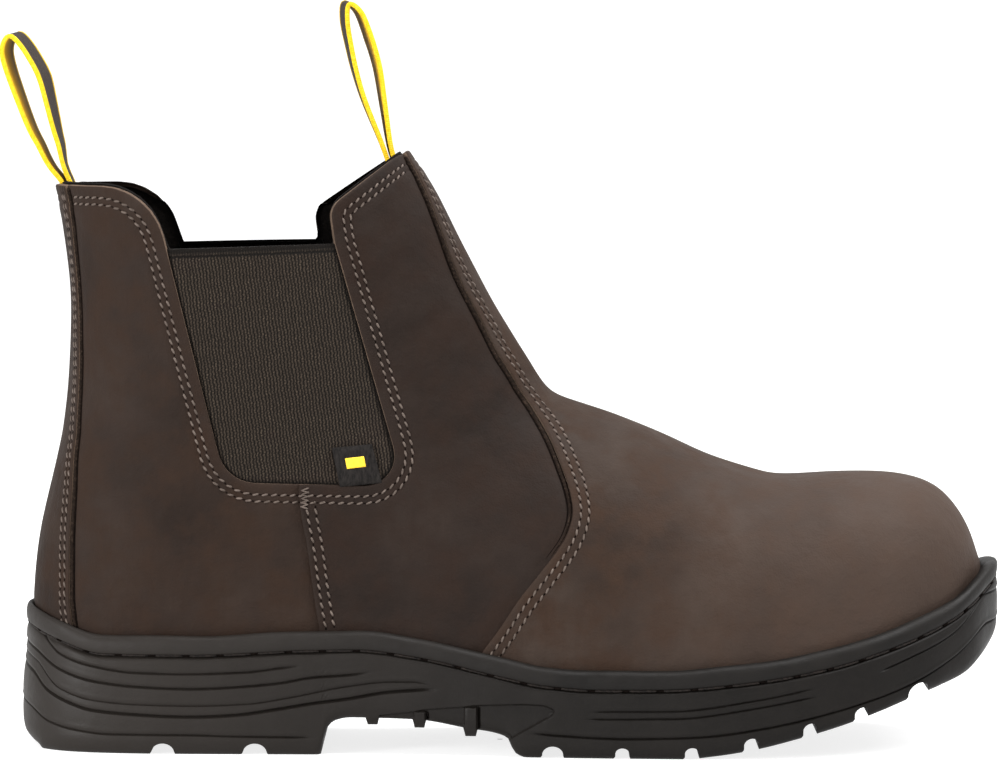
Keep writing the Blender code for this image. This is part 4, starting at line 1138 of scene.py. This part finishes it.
def gore(side):
    """Knit elastic inside one cut-out, its ribs worked in relief, and its flat area."""
    sign, g = SIDES[side], dict(zip(GORE_COLUMNS, GORES[side]))
    outline = np.array(gore_outline(side, -1.3))
    foot = np.array([(g["rear_low"] + g["front_low"]) / 2, g["low_rear_z"]])
    head = np.array([(g["rear_top"] + g["front_top"]) / 2, (g["top_rear_z"] + g["top_front_z"]) / 2])
    up = head - foot
    up = np.array([up[0] * 0.45, up[1]])
    up /= np.linalg.norm(up)
    right = np.array([up[1], -up[0]])
    rel = outline - foot
    s = np.arange((rel @ right).min() - 1, (rel @ right).max() + 1, 0.25)
    t = np.arange((rel @ up).min() - 1, (rel @ up).max() + 1, 0.29)
    ss, tt = np.meshgrid(s, t)
    x = foot[0] + ss * right[0] + tt * up[0]
    z = foot[1] + ss * right[1] + tt * up[1]
    coarse_s, coarse_t = np.linspace(s[0], s[-1], 40), np.linspace(t[0], t[-1], 52)
    y = np.zeros((52, 40))
    for i, tv in enumerate(coarse_t):
        for j, sv in enumerate(coarse_s):
            p, _ = cast(foot[0] + sv * right[0] + tv * up[0], foot[1] + sv * right[1] + tv * up[1], sign)
            y[i, j] = p[1] if p is not None else 0.0
    row = np.array([np.interp(s, coarse_s, r) for r in y])
    yy = np.array([np.interp(t, coarse_t, row[:, j]) for j in range(len(s))]).T
    grid = np.stack([x, yy, z], 2)
    normal = grid_normals(grid, False)
    if normal[..., 1].sum() * sign < 0:
        normal = -normal
    net = Net(grid.reshape(-1, 3), normal.reshape(-1, 3), grid_tris(*grid.shape[:2], False))
    cut = [(g["rear_top"] - 1.3, g["top_rear_z"])] + [tuple(p) for p in outline[1:-1]] + [(g["front_top"] + 1.3, g["top_front_z"])]
    net.v["in"] = -inside_distance(net.p[:, 0], net.p[:, 2], cut)
    top = np.interp(net.p[:, 0], [g["rear_top"], g["front_top"]], [g["top_rear_z"], g["top_front_z"]])
    net.v["top"] = top + 0.25 * np.sin(net.p[:, 0] * 3.1) * 0.3 - net.p[:, 2]
    net.v["s"], net.v["t"] = ss.reshape(-1), tt.reshape(-1)
    net = net.split(net.v["in"], 1)
    low, high, down = net.v["s"], net.v["t"], net.v["top"]
    zig = 0.13 * np.abs(((high / LOOP_PITCH) % 2) - 1) * 2 + 0.10 * np.sin(high * 0.9 + np.sin(low * 1.3))
    col = np.cos(2 * math.pi * (low / RIB_PITCH + zig))
    parity = np.floor(low / RIB_PITCH + zig + 0.5) % 2
    loop = np.cos(2 * math.pi * (high / LOOP_PITCH) + parity * math.pi)
    rise = 0.5 + 0.36 * col + 0.24 * loop * (0.5 + 0.5 * col)
    band = 0.62 + 0.26 * np.cos(2 * math.pi * low / 0.85) + 0.08 * np.cos(high * 7)
    rise = np.where(down < SELVEDGE, band, rise)
    # the line at the selvedge's foot and the rim under the leather get a low rise, which sinks them and also darkens
    # their colour: painted shade
    gap = np.exp(-((down - SELVEDGE - 0.35) / 0.33)**2)
    rise = rise * (1 - 0.95 * gap)
    rise = rise * (0.35 + 0.65 * smooth((net.v["in"] - 1.0) / 1.6))
    net.v["rise"] = rise
    lift = -1.0 + 0.26 * (rise - 0.5) + np.where(down < SELVEDGE, 0.12, 0.0) - 0.25 * np.exp(-(down / 0.4)**2)
    lift = lift - 0.35 * fall(net.v["in"] - 1.0, 2.0)
    net.p = net.p + net.n * lift[:, None]
    area = 0.5 * abs(sum(a[0] * b[1] - b[0] * a[1] for a, b in zip(cut, cut[1:] + cut[:1]))) * 1e-6
    net.skirt(1.5)
    obj = ride(make("gore_%s_elastic" % side, net.p, net.t, [ELASTIC], None, {"rise": net.v["rise"]}), "elastic", "gore_" + side)
    return obj, cut, area


for side in SIDES:
    obj, cut, area = gore(side)

# the small label in the outer gore's front corner: a folded tab, with a plain bar
LABEL = ((-51.5, 94.2), (-39.3, 95.3), (-36.2, 83.4), (-49.1, 82.2))
k = Look("black woven label", 0.8, 0.6, Specular_IOR_Level=0.1)
LABEL_CLOTH = k.done(k.ramp(k.noise(1500, 2.0, stretch=(1, 1, 0.3)), [(0.3, lin(22, 20, 19)), (0.7, lin(44, 40, 38))]),
                     None, k.bump(k.noise(2500, 1.0), 0.00008))
k = Look("yellow woven bar", 0.7)
LABEL_YELLOW = k.done(k.ramp(k.noise(1500, 2.0), [(0.3, lin(222, 176, 20)), (0.7, lin(248, 206, 40))]),
                      None, k.bump(k.noise(2500, 1.0), 0.00008))


def patch(corners, count, out, puff, side=-1):
    """A padded four-cornered patch on the surface."""
    u = np.linspace(0, 1, count)
    a, b, c, d = (np.array(v) for v in corners)
    grid, normal = np.zeros((count, count, 3)), np.zeros((count, count, 3))
    for i, v in enumerate(u):
        for j, w in enumerate(u):
            x, z = (1 - v) * ((1 - w) * a + w * b) + v * ((1 - w) * d + w * c)
            p, n = cast(float(x), float(z), side)
            grid[i, j], normal[i, j] = p, n
    n = normal / np.linalg.norm(normal, axis=2)[..., None]
    border = np.minimum(np.minimum(u, 1 - u)[:, None], np.minimum(u, 1 - u)[None, :])
    grid = grid + n * (out + puff * smooth(border / 0.12) + 0.12 * np.sin(u * 5)[None, :])[..., None]
    net = Net(grid.reshape(-1, 3), n.reshape(-1, 3), grid_tris(count, count, False))
    e = np.cross(grid[1, 0] - grid[0, 0], grid[0, 1] - grid[0, 0])
    p, q, r = (net.p[net.t[0, i]] for i in range(3))
    if np.cross(q - p, r - p) @ n[0, 0] < 0:
        net.t = net.t[:, [0, 2, 1]]
    return net


net = patch(LABEL, 26, 0.0, 0.35)
net.skirt(1.2)
ride(make("gore_label", net.p, net.t, [LABEL_CLOTH]), "elastic")
net = patch(((-47.6, 91.0), (-41.8, 91.6), (-41.2, 88.4), (-47.0, 87.8)), 8, 0.47, 0.12)
net.skirt(0.5)
ride(make("gore_label_bar", net.p, net.t, [LABEL_YELLOW]), "elastic")

# ---------------------------------------------------------------- pull loops
k = Look("yellow and charcoal webbing", 0.75, 0.72, Specular_IOR_Level=0.1)
yellow = k.ramp(k.noise(1200, 2.0), [(0.3, lin(228, 182, 22)), (0.55, lin(246, 204, 40)), (0.75, lin(250, 218, 78))])
weave = k.maths("SINE", k.maths("MULTIPLY", k.value("run"), 2 * math.pi / 0.62))
weft = k.maths("SINE", k.maths("MULTIPLY", k.value("across"), 2 * math.pi / 0.7))
weave = k.maths("ADD", k.maths("MULTIPLY", weave, weft), k.noise(1500, 2.0))
charcoal = k.ramp(k.band(weave, -1.0, 2.0), [(0.25, lin(26, 22, 20)), (0.55, lin(50, 43, 39)), (0.8, lin(84, 74, 68))])
# on the inner face the colour runs from yellow at one edge to dull brown at the other: painted shade
inside = k.mix(k.band(k.value("across"), -4.6, 3.5), lin(214, 168, 26), lin(96, 80, 52))
base = k.mix(k.value("outer"), k.mix(k.value("inner"), yellow, inside), charcoal)
WEBBING = k.done(base, None, k.bump(k.band(weave, -1.0, 2.0), 0.00018))


def loop(name, path, table, steps=150):
    """Webbing loop: its line from the CAD part, turned and leaned a little as it rises."""
    p = np.array(path)
    run = np.concatenate([[0], np.cumsum(np.linalg.norm(np.diff(p, axis=0), axis=1))])
    u = np.linspace(0, run[-1], steps)
    x, z = spline(run, p[:, 0], u), spline(run, p[:, 1], u)
    tangent = np.stack([np.gradient(x, u), 0 * u, np.gradient(z, u)], 1)
    tangent /= np.linalg.norm(tangent, axis=1)[:, None]
    lean = np.interp(u / run[-1], table[0], table[1])
    tip = np.interp(u / run[-1], table[0], table[2])
    wide = np.stack([lean, np.full(steps, TAPE_WIDTH / 2), tip], 1)
    thick = np.cross(tangent, wide)
    thick /= np.linalg.norm(thick, axis=1)[:, None]
    centre = np.stack([x.mean() + 0 * x, 0 * x, z.mean() + 0 * z], 1)
    flat_out = np.stack([x, 0 * x, z], 1) - centre
    if (thick * flat_out).sum() < 0:
        thick = -thick
    half = TAPE_THICK / 2
    across = np.concatenate([np.linspace(-0.93, 0.93, 11), [0.985, 1.0, 0.985], np.linspace(0.93, -0.93, 11), [-0.985, -1.0, -0.985]])
    up = np.concatenate([np.full(11, 1.0), [0.7, 0.0, -0.7], np.full(11, -1.0), [-0.7, 0.0, 0.7]])
    bead = np.where(np.abs(across) > 0.8, 1.0, 0.80)
    back = 2.2 * smooth((188.0 - z) / 11.0) * (x.mean() < -100)
    middle = np.stack([x + lean - back, np.full(steps, LOOP_Y), z + tip], 1)
    ring = middle[:, None] + across[None, :, None] * wide[:, None] + (up * bead * half)[None, :, None] * thick[:, None]
    m = len(across)
    i, j = np.meshgrid(np.arange(steps - 1), np.arange(m), indexing="ij")
    a, b = i * m + j, i * m + (j + 1) % m
    quads = np.stack([a, b, b + m, a + m], 2).reshape(-1, 4)
    tris = np.concatenate([quads[:, [0, 1, 2]], quads[:, [0, 2, 3]]])
    last = (steps - 1) * m
    tris = np.concatenate([tris, [[0, q + 1, q] for q in range(1, m - 1)], [[last, last + q, last + q + 1] for q in range(1, m - 1)]])
    points = ring.reshape(-1, 3)
    a, b, c = (points[tris[:, q]] for q in range(3))
    if (a * np.cross(b, c)).sum() < 0:
        tris = tris[:, [0, 2, 1]]
    inner = np.abs(across) < 0.86
    values = {"outer": np.tile(np.where(inner & (up > 0), 1.0, 0.0), steps), "inner": np.tile(np.where(inner & (up < 0), 1.0, 0.0), steps),
              "across": np.tile(across * TAPE_WIDTH / 2, steps), "run": np.repeat(u, m)}
    obj = ride(make(name + "_webbing", points, tris, [WEBBING], None, values), "webbing", name)
    return obj


# share of the way round, and how far the far edge is off along x and up
loop("pull_loop_back", BACK_LOOP, ((0.0, 0.18, 0.35, 0.5, 0.62, 0.72, 0.82, 1.0), (0.0, 0.4, 0.9, 1.3, 1.4, 0.9, 0.1, 0.0),
                                   (0.0, 0.0, 0.2, 0.5, 0.4, 0.1, 0.0, 0.0)))
loop("pull_loop_front", FRONT_LOOP, ((0.0, 0.2, 0.4, 0.55, 0.7, 0.85, 1.0), (0.0, -0.6, -1.2, -1.1, -0.6, -0.2, 0.0),
                                     (0.0, 0.0, 0.1, 0.4, 0.2, 0.0, 0.0)))


# -------------------------------------------------------------------- sole
TOP_LINE = feather_outline()
STATIONS_FINE = 400
WALL_COLUMNS = ("share", "lean")
WALL_PROFILE = ((0.0, -2.4), (0.03, -1.2), (0.08, -0.5), (0.16, -0.1), (0.3, 0.0), (0.6, 0.0), (0.88, -0.05), (0.93, -0.2),
                (0.96, -0.55), (0.985, -1.5), (1.0, -2.4))


def tuck(x):
    """How far the welt and the sole's top draw in round the back of the heel."""
    return 1.2 * smooth((-126.0 - np.asarray(x, float)) / 18.0)


def ring_at(out):
    x, lateral, medial = plan(out, STATIONS_FINE, of=TOP_LINE)
    return np.concatenate([x, x[-2:0:-1]]), np.concatenate([lateral, medial[-2:0:-1]])


SHARES = np.unique(np.concatenate([np.linspace(0, 0.16, 9), np.linspace(0.16, 0.9, 34), np.linspace(0.9, 1.0, 12)]))
LEANS = monotone(column(WALL_PROFILE, WALL_COLUMNS, "share"), column(WALL_PROFILE, WALL_COLUMNS, "lean"), SHARES)
wall = []
for share, lean in zip(SHARES, LEANS):
    x, y = ring_at(lambda v, lean=lean: edge_out(v) + lean)
    low, high = ground(x), feather(x) - WELT_HEIGHT - GAP
    wall.append(np.stack([x, y, low + share * (high - low)], 1))
wall = np.array(wall)
normal = grid_normals(wall, True)
if (normal[..., :2] * (wall - wall.mean(axis=(0, 1)))[..., :2]).sum() < 0:
    normal = -normal
m = wall.shape[1]
tris = grid_tris(*wall.shape[:2], True)
caps = []
for base in (0, (len(SHARES) - 1) * m):
    n = STATIONS_FINE
    caps.append([(base, base + 1, base + m - 1)])
    caps.append([(base + i, base + i + 1, base + m - i - 1) for i in range(1, n - 1)])
    caps.append([(base + i, base + m - i - 1, base + m - i) for i in range(1, n - 1)])
    caps.append([(base + n - 1, base + n, base + n + 1)])
cap_tris = [np.array([t for group in caps[q:q + 4] for t in group]) for q in (0, 4)]
flip = np.cross(wall[1, 0] - wall[0, 0], wall[0, 1] - wall[0, 0]) @ normal[0, 0]
walls = tris if flip < 0 else tris[:, [0, 2, 1]]
a, b, c = (wall.reshape(-1, 3)[walls[:, q]] for q in range(3))
if (np.cross(b - a, c - a) * normal.reshape(-1, 3)[walls[:, 0]]).sum() < 0:
    walls = walls[:, [0, 2, 1]]
for q, want in ((0, -1), (1, 1)):
    p = wall.reshape(-1, 3)[cap_tris[q]]
    if (np.cross(p[:, 1] - p[:, 0], p[:, 2] - p[:, 0])[:, 2].sum()) * want < 0:
        cap_tris[q] = cap_tris[q][:, [0, 2, 1]]
SOLE = Net(wall.reshape(-1, 3), normal.reshape(-1, 3), np.concatenate([walls] + cap_tris))
mid = wall[len(SHARES) // 2]
step = np.linalg.norm(np.diff(mid, axis=0, append=mid[:1])[:, :2], axis=1)
along = np.concatenate([[0], np.cumsum(step)[:-1]])
total = step.sum()
along_lateral = along[:STATIONS_FINE + 1]
from_heel = np.where(np.arange(m) <= STATIONS_FINE, along, total - along)
SOLE.v["s"] = np.tile(from_heel, len(SHARES))
SOLE.v["side"] = np.tile(np.where(np.arange(m) <= STATIONS_FINE, -1.0, 1.0), len(SHARES))
SOLE.v["wall"] = np.repeat(smooth(SHARES / 0.05) * smooth((1 - SHARES) / 0.03), m)

# Grooves round the side of the sole: x and height along each, half width, depth,
# and whether it runs on round the back of the heel or the front of the toe.
LINES = (
    (((-144.7, 37.5), (-136.1, 30.1), (-126.0, 27.0), (-112.2, 25.1), (-98.4, 24.8), (-78.2, 25.4), (-67.8, 26.7), (-58.9, 27.7)), 0.45, 0.55, "heel"),
    (((-145.0, 30.7), (-136.1, 25.4), (-126.0, 22.4), (-112.2, 20.8), (-95.1, 20.2), (-81.6, 20.8), (-67.8, 22.1), (-57.6, 23.9), (-46.0, 24.8), (-38.0, 25.9)), 0.5, 0.7, "heel"),
    (((-144.4, 27.3), (-136.1, 19.6), (-126.0, 16.5), (-112.2, 15.3), (-95.1, 15.0), (-78.2, 15.6), (-64.4, 17.7), (-47.5, 21.1), (-34.0, 22.7), (-27.0, 22.8), (-19.0, 21.4)), 0.3, 0.28, "heel"),
    (((-145.3, 23.9), (-139.5, 18.4), (-132.8, 15.3), (-126.1, 13.4), (-112.3, 12.2), (-95.1, 11.6), (-81.6, 12.2), (-67.8, 14.2), (-57.7, 15.9), (-47.5, 17.3), (-34.0, 19.6), (-18.2, 20.8)), 0.6, 0.95, "heel"),
    (((-145.4, 12.8), (-139.6, 9.1), (-132.8, 7.3), (-119.0, 6.0), (-98.5, 6.0), (-78.2, 5.6), (-55.5, 5.4)), 0.4, 0.5, "heel"),
    (((26.1, 14.3), (28.1, 14.4), (53.7, 14.8), (77.2, 18.0), (98.9, 22.3)), 0.4, 0.4, ""),
    (((24.1, 12.2), (28.1, 12.2), (53.7, 12.5), (77.2, 15.6), (99.8, 19.9)), 0.4, 0.4, ""),
    (((7.6, 7.9), (17.4, 7.0), (38.2, 6.2), (61.7, 7.0), (81.2, 9.7), (100.8, 14.0), (123.9, 21.1), (139.5, 28.8), (151.9, 38.3)), 0.45, 0.55, "toe"),
    (((113.9, 25.6), (124.2, 29.5), (139.8, 36.5), (151.4, 47.3)), 0.45, 0.5, "toe"),
    (((140.5, 40.6), (146.0, 44.6), (151.9, 51.0)), 0.4, 0.35, "toe"),
)
rail = []
for table, half, deep, ends in LINES:
    t = np.array(table)
    s = np.interp(t[:, 0], mid[:STATIONS_FINE + 1, 0], along_lateral)
    z = t[:, 1]
    if ends == "heel":
        s, z = np.concatenate([[0.0], s]), np.concatenate([[z[0] + 3.0], z])
    if ends == "toe":
        s, z = np.concatenate([s, [along_lateral[-1]]]), np.concatenate([z, [z[-1] + 0.8]])
    rail.append((s, z, half, deep, ends))


def rail_gap(net, row):
    s, z, half, deep, ends = row
    gap = net.p[:, 2] - monotone(s, z, net.v["s"])
    off = 8.0 * (1 - smooth((net.v["s"] - s[0] + 3) / 3)) * (ends != "heel") + 8.0 * smooth((net.v["s"] - s[-1]) / 3) * (ends != "toe")
    return gap, np.where(off > 0.01, off, 0.0)


for row in rail:
    for level in (-row[2], 0.0, row[2]):
        gap, off = rail_gap(SOLE, row)
        SOLE = SOLE.split(gap - level + np.where(off > 0, 60.0, 0.0))
WAIST = ((-39.5, 12.6), (-28.5, 13.7), (-23.0, 14.7), (-12.0, 15.6), (-7.4, 16.2), (7.1, 16.8), (13.8, 16.5), (17.2, 15.0),
         (15.9, 12.8), (1.5, 4.6), (-2.0, -3.0), (-50.0, -3.0), (-50.0, 11.0))
RIB_TOPS = (12.2, 14.0, 15.6)
SOLE.v["panel"] = inside_distance(SOLE.p[:, 0], SOLE.p[:, 2], WAIST)
SOLE = SOLE.levels("panel", (-0.7, -0.05))
for rear, front, foot in RIBS:
    for at in (rear - 0.5, rear + 0.2, front - 0.2, front + 0.35, front + 1.1):
        SOLE = SOLE.split(SOLE.p[:, 0] - at)

out = np.zeros(len(SOLE.p))
for row in rail:
    gap, off = rail_gap(SOLE, row)
    s, z, half, deep, ends = row
    ease = np.ones(len(gap))
    if ends != "heel":
        ease = ease * smooth((SOLE.v["s"] - s[0]) / 7)
    if ends != "toe":
        ease = ease * smooth((s[-1] - SOLE.v["s"]) / 9)
    out -= ease * (deep * np.maximum(0, 1 - np.abs(gap) / half) + 0.30 * np.exp(-np.abs(gap) / 1.3) - 0.20 * np.exp(-((gap - half - 0.7) / 0.5)**2))
out -= tuck(SOLE.p[:, 0]) * smooth((SOLE.p[:, 2] - 16.0) / 18.0)
low = smooth((SOLE.p[:, 2] - ground(SOLE.p[:, 0])) / 1.2)
out -= 1.15 * smooth(-SOLE.v["panel"] / 0.7) * low
down = np.zeros(len(SOLE.p))
for (rear, front, foot), top in zip(RIBS, RIB_TOPS):
    x = SOLE.p[:, 0]
    on = smooth((x - rear + 0.5) / 0.7) * smooth((front + 0.35 - x) / 0.55)
    reach = smooth((top - SOLE.p[:, 2]) / 0.6)
    out += 1.15 * on * reach * smooth(-SOLE.v["panel"] / 0.7) * low
    shade = smooth((x - front + 0.2) / 0.5) * smooth((front + 1.1 - x) / 0.4)
    out -= 0.9 * shade * reach * low * smooth(-SOLE.v["panel"] / 0.7)
    near = 1 - smooth((SOLE.p[:, 2] - ground(x)) / 2.0)
    down += on * near * np.maximum(0, ground(x) - foot)
flatn = SOLE.n.copy()
flatn[:, 2] = 0
flatn /= np.maximum(np.linalg.norm(flatn, axis=1), 1e-9)[:, None]
SOLE.p = SOLE.p + flatn * (out * SOLE.v["wall"])[:, None]
SOLE.p[:, 2] -= down
# gentle unevenness of moulded rubber
SOLE.p += flatn * (0.07 * np.sin(SOLE.v["s"] * 0.31) * SOLE.v["wall"])[:, None]

sole = make("outsole_rubber", SOLE.p, SOLE.t, [RUBBER])

# tread: arched channels across it and one along the middle of heel and forefoot
NOTCH_COLUMNS = ("rear", "front", "high")
NOTCHES = ((-107.2, -100.2, 3.4), (-79.0, -71.7, 3.5), (12.9, 19.3, 3.7), (35.2, 39.5, 3.4), (56.4, 60.6, 3.6),
           (74.4, 78.7, 3.9), (92.5, 96.5, 3.9), (108.4, 112.4, 3.6), (125.2, 131.4, 3.8))


def solid(name, rings):
    """Closed solid through rings of equal count."""
    rings = np.array(rings)
    m = rings.shape[1]
    tris = grid_tris(rings.shape[0], m, True)
    last = (rings.shape[0] - 1) * m
    tris = np.concatenate([tris, [[0, q + 1, q] for q in range(1, m - 1)], [[last, last + q, last + q + 1] for q in range(1, m - 1)]])
    p = rings.reshape(-1, 3)
    a, b, c = (p[tris[:, q]] for q in range(3))
    if (a * np.cross(b, c)).sum() < 0:
        tris = tris[:, [0, 2, 1]]
    bad = Net(p, p, tris).rim()
    return make(name, p, tris, [RUBBER], flat=True)


cutters = []
for rear, front, high in NOTCHES:
    mid_x, half = (rear + front) / 2, (front - rear) / 2
    slope = float(ground(front) - ground(rear)) / (front - rear)
    arch = [(mid_x - half - 0.9, -14.0), (mid_x - half - 0.9, -0.6), (mid_x - half, 0.8)]
    arch += [(mid_x - half * math.cos(v), max(0.8, high - half * 0.8 + half * 0.8 * math.sin(v))) for v in np.linspace(0.12, math.pi - 0.12, 12)]
    arch += [(mid_x + half, 0.8), (mid_x + half + 0.5, -0.6), (mid_x + half + 0.5, -14.0)]
    rings = [[(x, y, z + float(ground(mid_x)) + slope * (x - mid_x)) for x, z in arch] for y in (-90.0, 90.0)]
    cutters.append(solid("channel", rings))
for x0, x1, y in ((-152.0, -48.0, -1.5), (2.0, 160.0, 2.5)):
    xs = np.linspace(x0, x1, 24)
    rings = [[(x, y - 2.5, -25.0), (x, y + 2.5, -25.0), (x, y + 2.5, float(ground(x)) + 2.4), (x, y + 1.6, float(ground(x)) + 3.0),
              (x, y - 1.6, float(ground(x)) + 3.0), (x, y - 2.5, float(ground(x)) + 2.4)] for x in xs]
    cutters.append(solid("long_channel", rings))
for cutter in cutters:
    m = sole.modifiers.new("Channel", "BOOLEAN")
    m.operation, m.object, m.solver = "DIFFERENCE", cutter, "MANIFOLD"
bpy.context.view_layer.update()
whole = bpy.data.meshes.new_from_object(sole.evaluated_get(bpy.context.evaluated_depsgraph_get()))
before = len(sole.data.polygons)
sole.modifiers.clear()
sole.data = whole
for cutter in cutters:
    bpy.data.objects.remove(cutter, do_unlink=True)
print("sole faces", before, len(whole.polygons))
whole.shade_smooth()
whole.set_sharp_from_angle(angle=math.radians(38))
ride(sole, "sole_rubber", "outsole")

# welt: a soft bead round the boot, with the stitched groove under it
WELT_PROFILE = ((-0.6, 0.4, -0.4), (0.15, 0.0, 0.55), (0.3, 0.0, 0.75), (0.5, 0.0, 0.55), (0.72, 0.0, 0.10), (0.88, 0.0, -0.7),
                (0.96, 0.0, -1.7), (0.985, 0.0, -2.8), (0.975, 0.0, -3.7), (0.93, 0.0, -4.5), (0.84, 0.0, -4.95),
                (0.6, 0.0, -5.05), (0.2, 0.0, -5.0), (-0.3, 0.0, -4.4))
rings = []
for share, _, high in WELT_PROFILE:
    x, y = ring_at(lambda v, share=share: 0.1 + share * (edge_out(v) - 0.05 - tuck(v)))
    rings.append(np.stack([x, y, feather(x) + high + 0.12 * np.sin(x * 0.19 + y * 0.1) * (high > -1)], 1))
rings = np.array(rings)
tris = grid_tris(*rings.shape[:2], True)
n = rings.shape[1]
last = (len(WELT_PROFILE) - 1) * n
j = np.arange(n)
close = np.concatenate([np.stack([last + j, last + (j + 1) % n, (j + 1) % n], 1), np.stack([last + j, (j + 1) % n, j], 1)])
tris = np.concatenate([tris, close])
p = rings.reshape(-1, 3)
a, b, c = (p[tris[:, q]] for q in range(3))
if (a * np.cross(b, c)).sum() < 0:
    tris = tris[:, [0, 2, 1]]
ride(make("welt_bead", p, tris, [WELT_RUBBER]), "welt_rubber", "welt")

# thread lying in the groove, a long stitch at a time
x, y = ring_at(lambda v: edge_out(v) - 0.75 - tuck(v))
line = np.stack([x, y, feather(x) - 5.25], 1)
line = resample(np.concatenate([line, line[:1]]), 0.5)
nrm = frames(line)
outward = np.stack([nrm[:, 1], -nrm[:, 0], 0 * nrm[:, 0]], 1)
if (outward[:, 0] * line[:, 0]).sum() < 0:
    outward = -outward
runs, marks, size = [], [], int(10.9 / 0.5)
for start in range(0, len(line) - size, size):
    part = slice(start + 1, start + size - 1)
    q, o = line[part].copy(), outward[part]
    e = np.linspace(-1, 1, len(q))
    q = q - o * (0.5 * np.abs(e)**6)[:, None]
    runs.append(tube(q, o, 0.40, 10, 1.9, 2, 0.18))
    k0 = slice(start + size - 2, start + size + 3)
    marks.append(tube(line[k0] + outward[k0] * 0.02, outward[k0], 0.38, 8))
ride(make("welt_thread", *joined(runs), [WELT_THREAD]), "welt_rubber")
ride(make("welt_thread_holes", *joined(marks), [HOLE_AND_SHADOW_DARK]), "welt_rubber")

# the insole keeps its CAD shape
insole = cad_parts["insole"]
insole.data.materials.clear()
insole.data.materials.append(FOOTBED)


# ------------------------------------------------------ floor, light, camera
k = Look("pale floor", 0.9, Specular_IOR_Level=0.1, Emission_Color=(1.0, 1.0, 1.0, 1.0), Emission_Strength=0.80)
FLOOR = k.done(k.ramp(k.noise(3.0, 2.0), [(0.3, (0.35, 0.35, 0.35)), (0.7, (0.36, 0.36, 0.36))]))
profile = [(0.001, 0.0), (0.5, 0.0), (1.5, 0.0), (2.6, 0.0)]
profile += [(2.6 + 1.0 * math.sin(v), 1.0 - 1.0 * math.cos(v)) for v in np.linspace(0.1, math.pi / 2, 12)]
profile += [(3.6, 1.8), (3.6, 2.4)]
turn = np.arange(96) / 96 * 2 * math.pi
bowl = np.array([[(r * math.cos(a) * 1000, r * math.sin(a) * 1000, z * 1000) for a in turn] for r, z in profile])
floor = make("floor", bowl.reshape(-1, 3), grid_tris(*bowl.shape[:2], True), [FLOOR])

scene = bpy.context.scene
scene.view_settings.view_transform = "Standard"
scene.view_settings.look = "None"
scene.view_settings.exposure = 0.0
world = bpy.data.worlds.new("soft studio")
scene.world = world
world.use_nodes = True
world.node_tree.nodes["Background"].inputs["Color"].default_value = (1.0, 1.0, 1.0, 1.0)
world.node_tree.nodes["Background"].inputs["Strength"].default_value = 0.35

LIGHT_COLUMNS = ("name", "x", "y", "z", "wide", "high", "watts")
LIGHTS = (
    ("overhead", 0.30, 0.05, 1.60, 1.8, 1.4, 62.0),
    ("front", -0.90, -1.90, 0.90, 1.0, 0.6, 3.0),
    ("toe_side", 1.30, -0.45, 1.50, 0.8, 0.8, 30.0),
    ("heel_side", -1.35, -1.00, 0.36, 0.45, 0.45, 30.0),
)
for row in LIGHTS:
    c = dict(zip(LIGHT_COLUMNS, row))
    lamp = bpy.data.lights.new(c["name"], "AREA")
    lamp.shape, lamp.size, lamp.size_y, lamp.energy = "RECTANGLE", c["wide"], c["high"], c["watts"]
    obj = bpy.data.objects.new(c["name"], lamp)
    scene.collection.objects.link(obj)
    obj.location = (c["x"], c["y"], c["z"])
    obj.rotation_euler = (Vector((0.0, 0.0, 0.09)) - Vector(obj.location)).to_track_quat("-Z", "Y").to_euler()

AIM = Vector((0.0, 0.0, 0.113))
camera = bpy.data.cameras.new("camera")
camera.type, camera.sensor_width, camera.lens = "PERSP", 36.0, 207.03
camera.clip_start, camera.clip_end = 0.05, 50.0
eye = bpy.data.objects.new("camera", camera)
scene.collection.objects.link(eye)
rise = math.radians(3.3)
eye.location = AIM + Vector((0.0, -1.8 * math.cos(rise), 1.8 * math.sin(rise)))
eye.rotation_euler = (AIM - eye.location).to_track_quat("-Z", "Y").to_euler()
scene.camera = eye
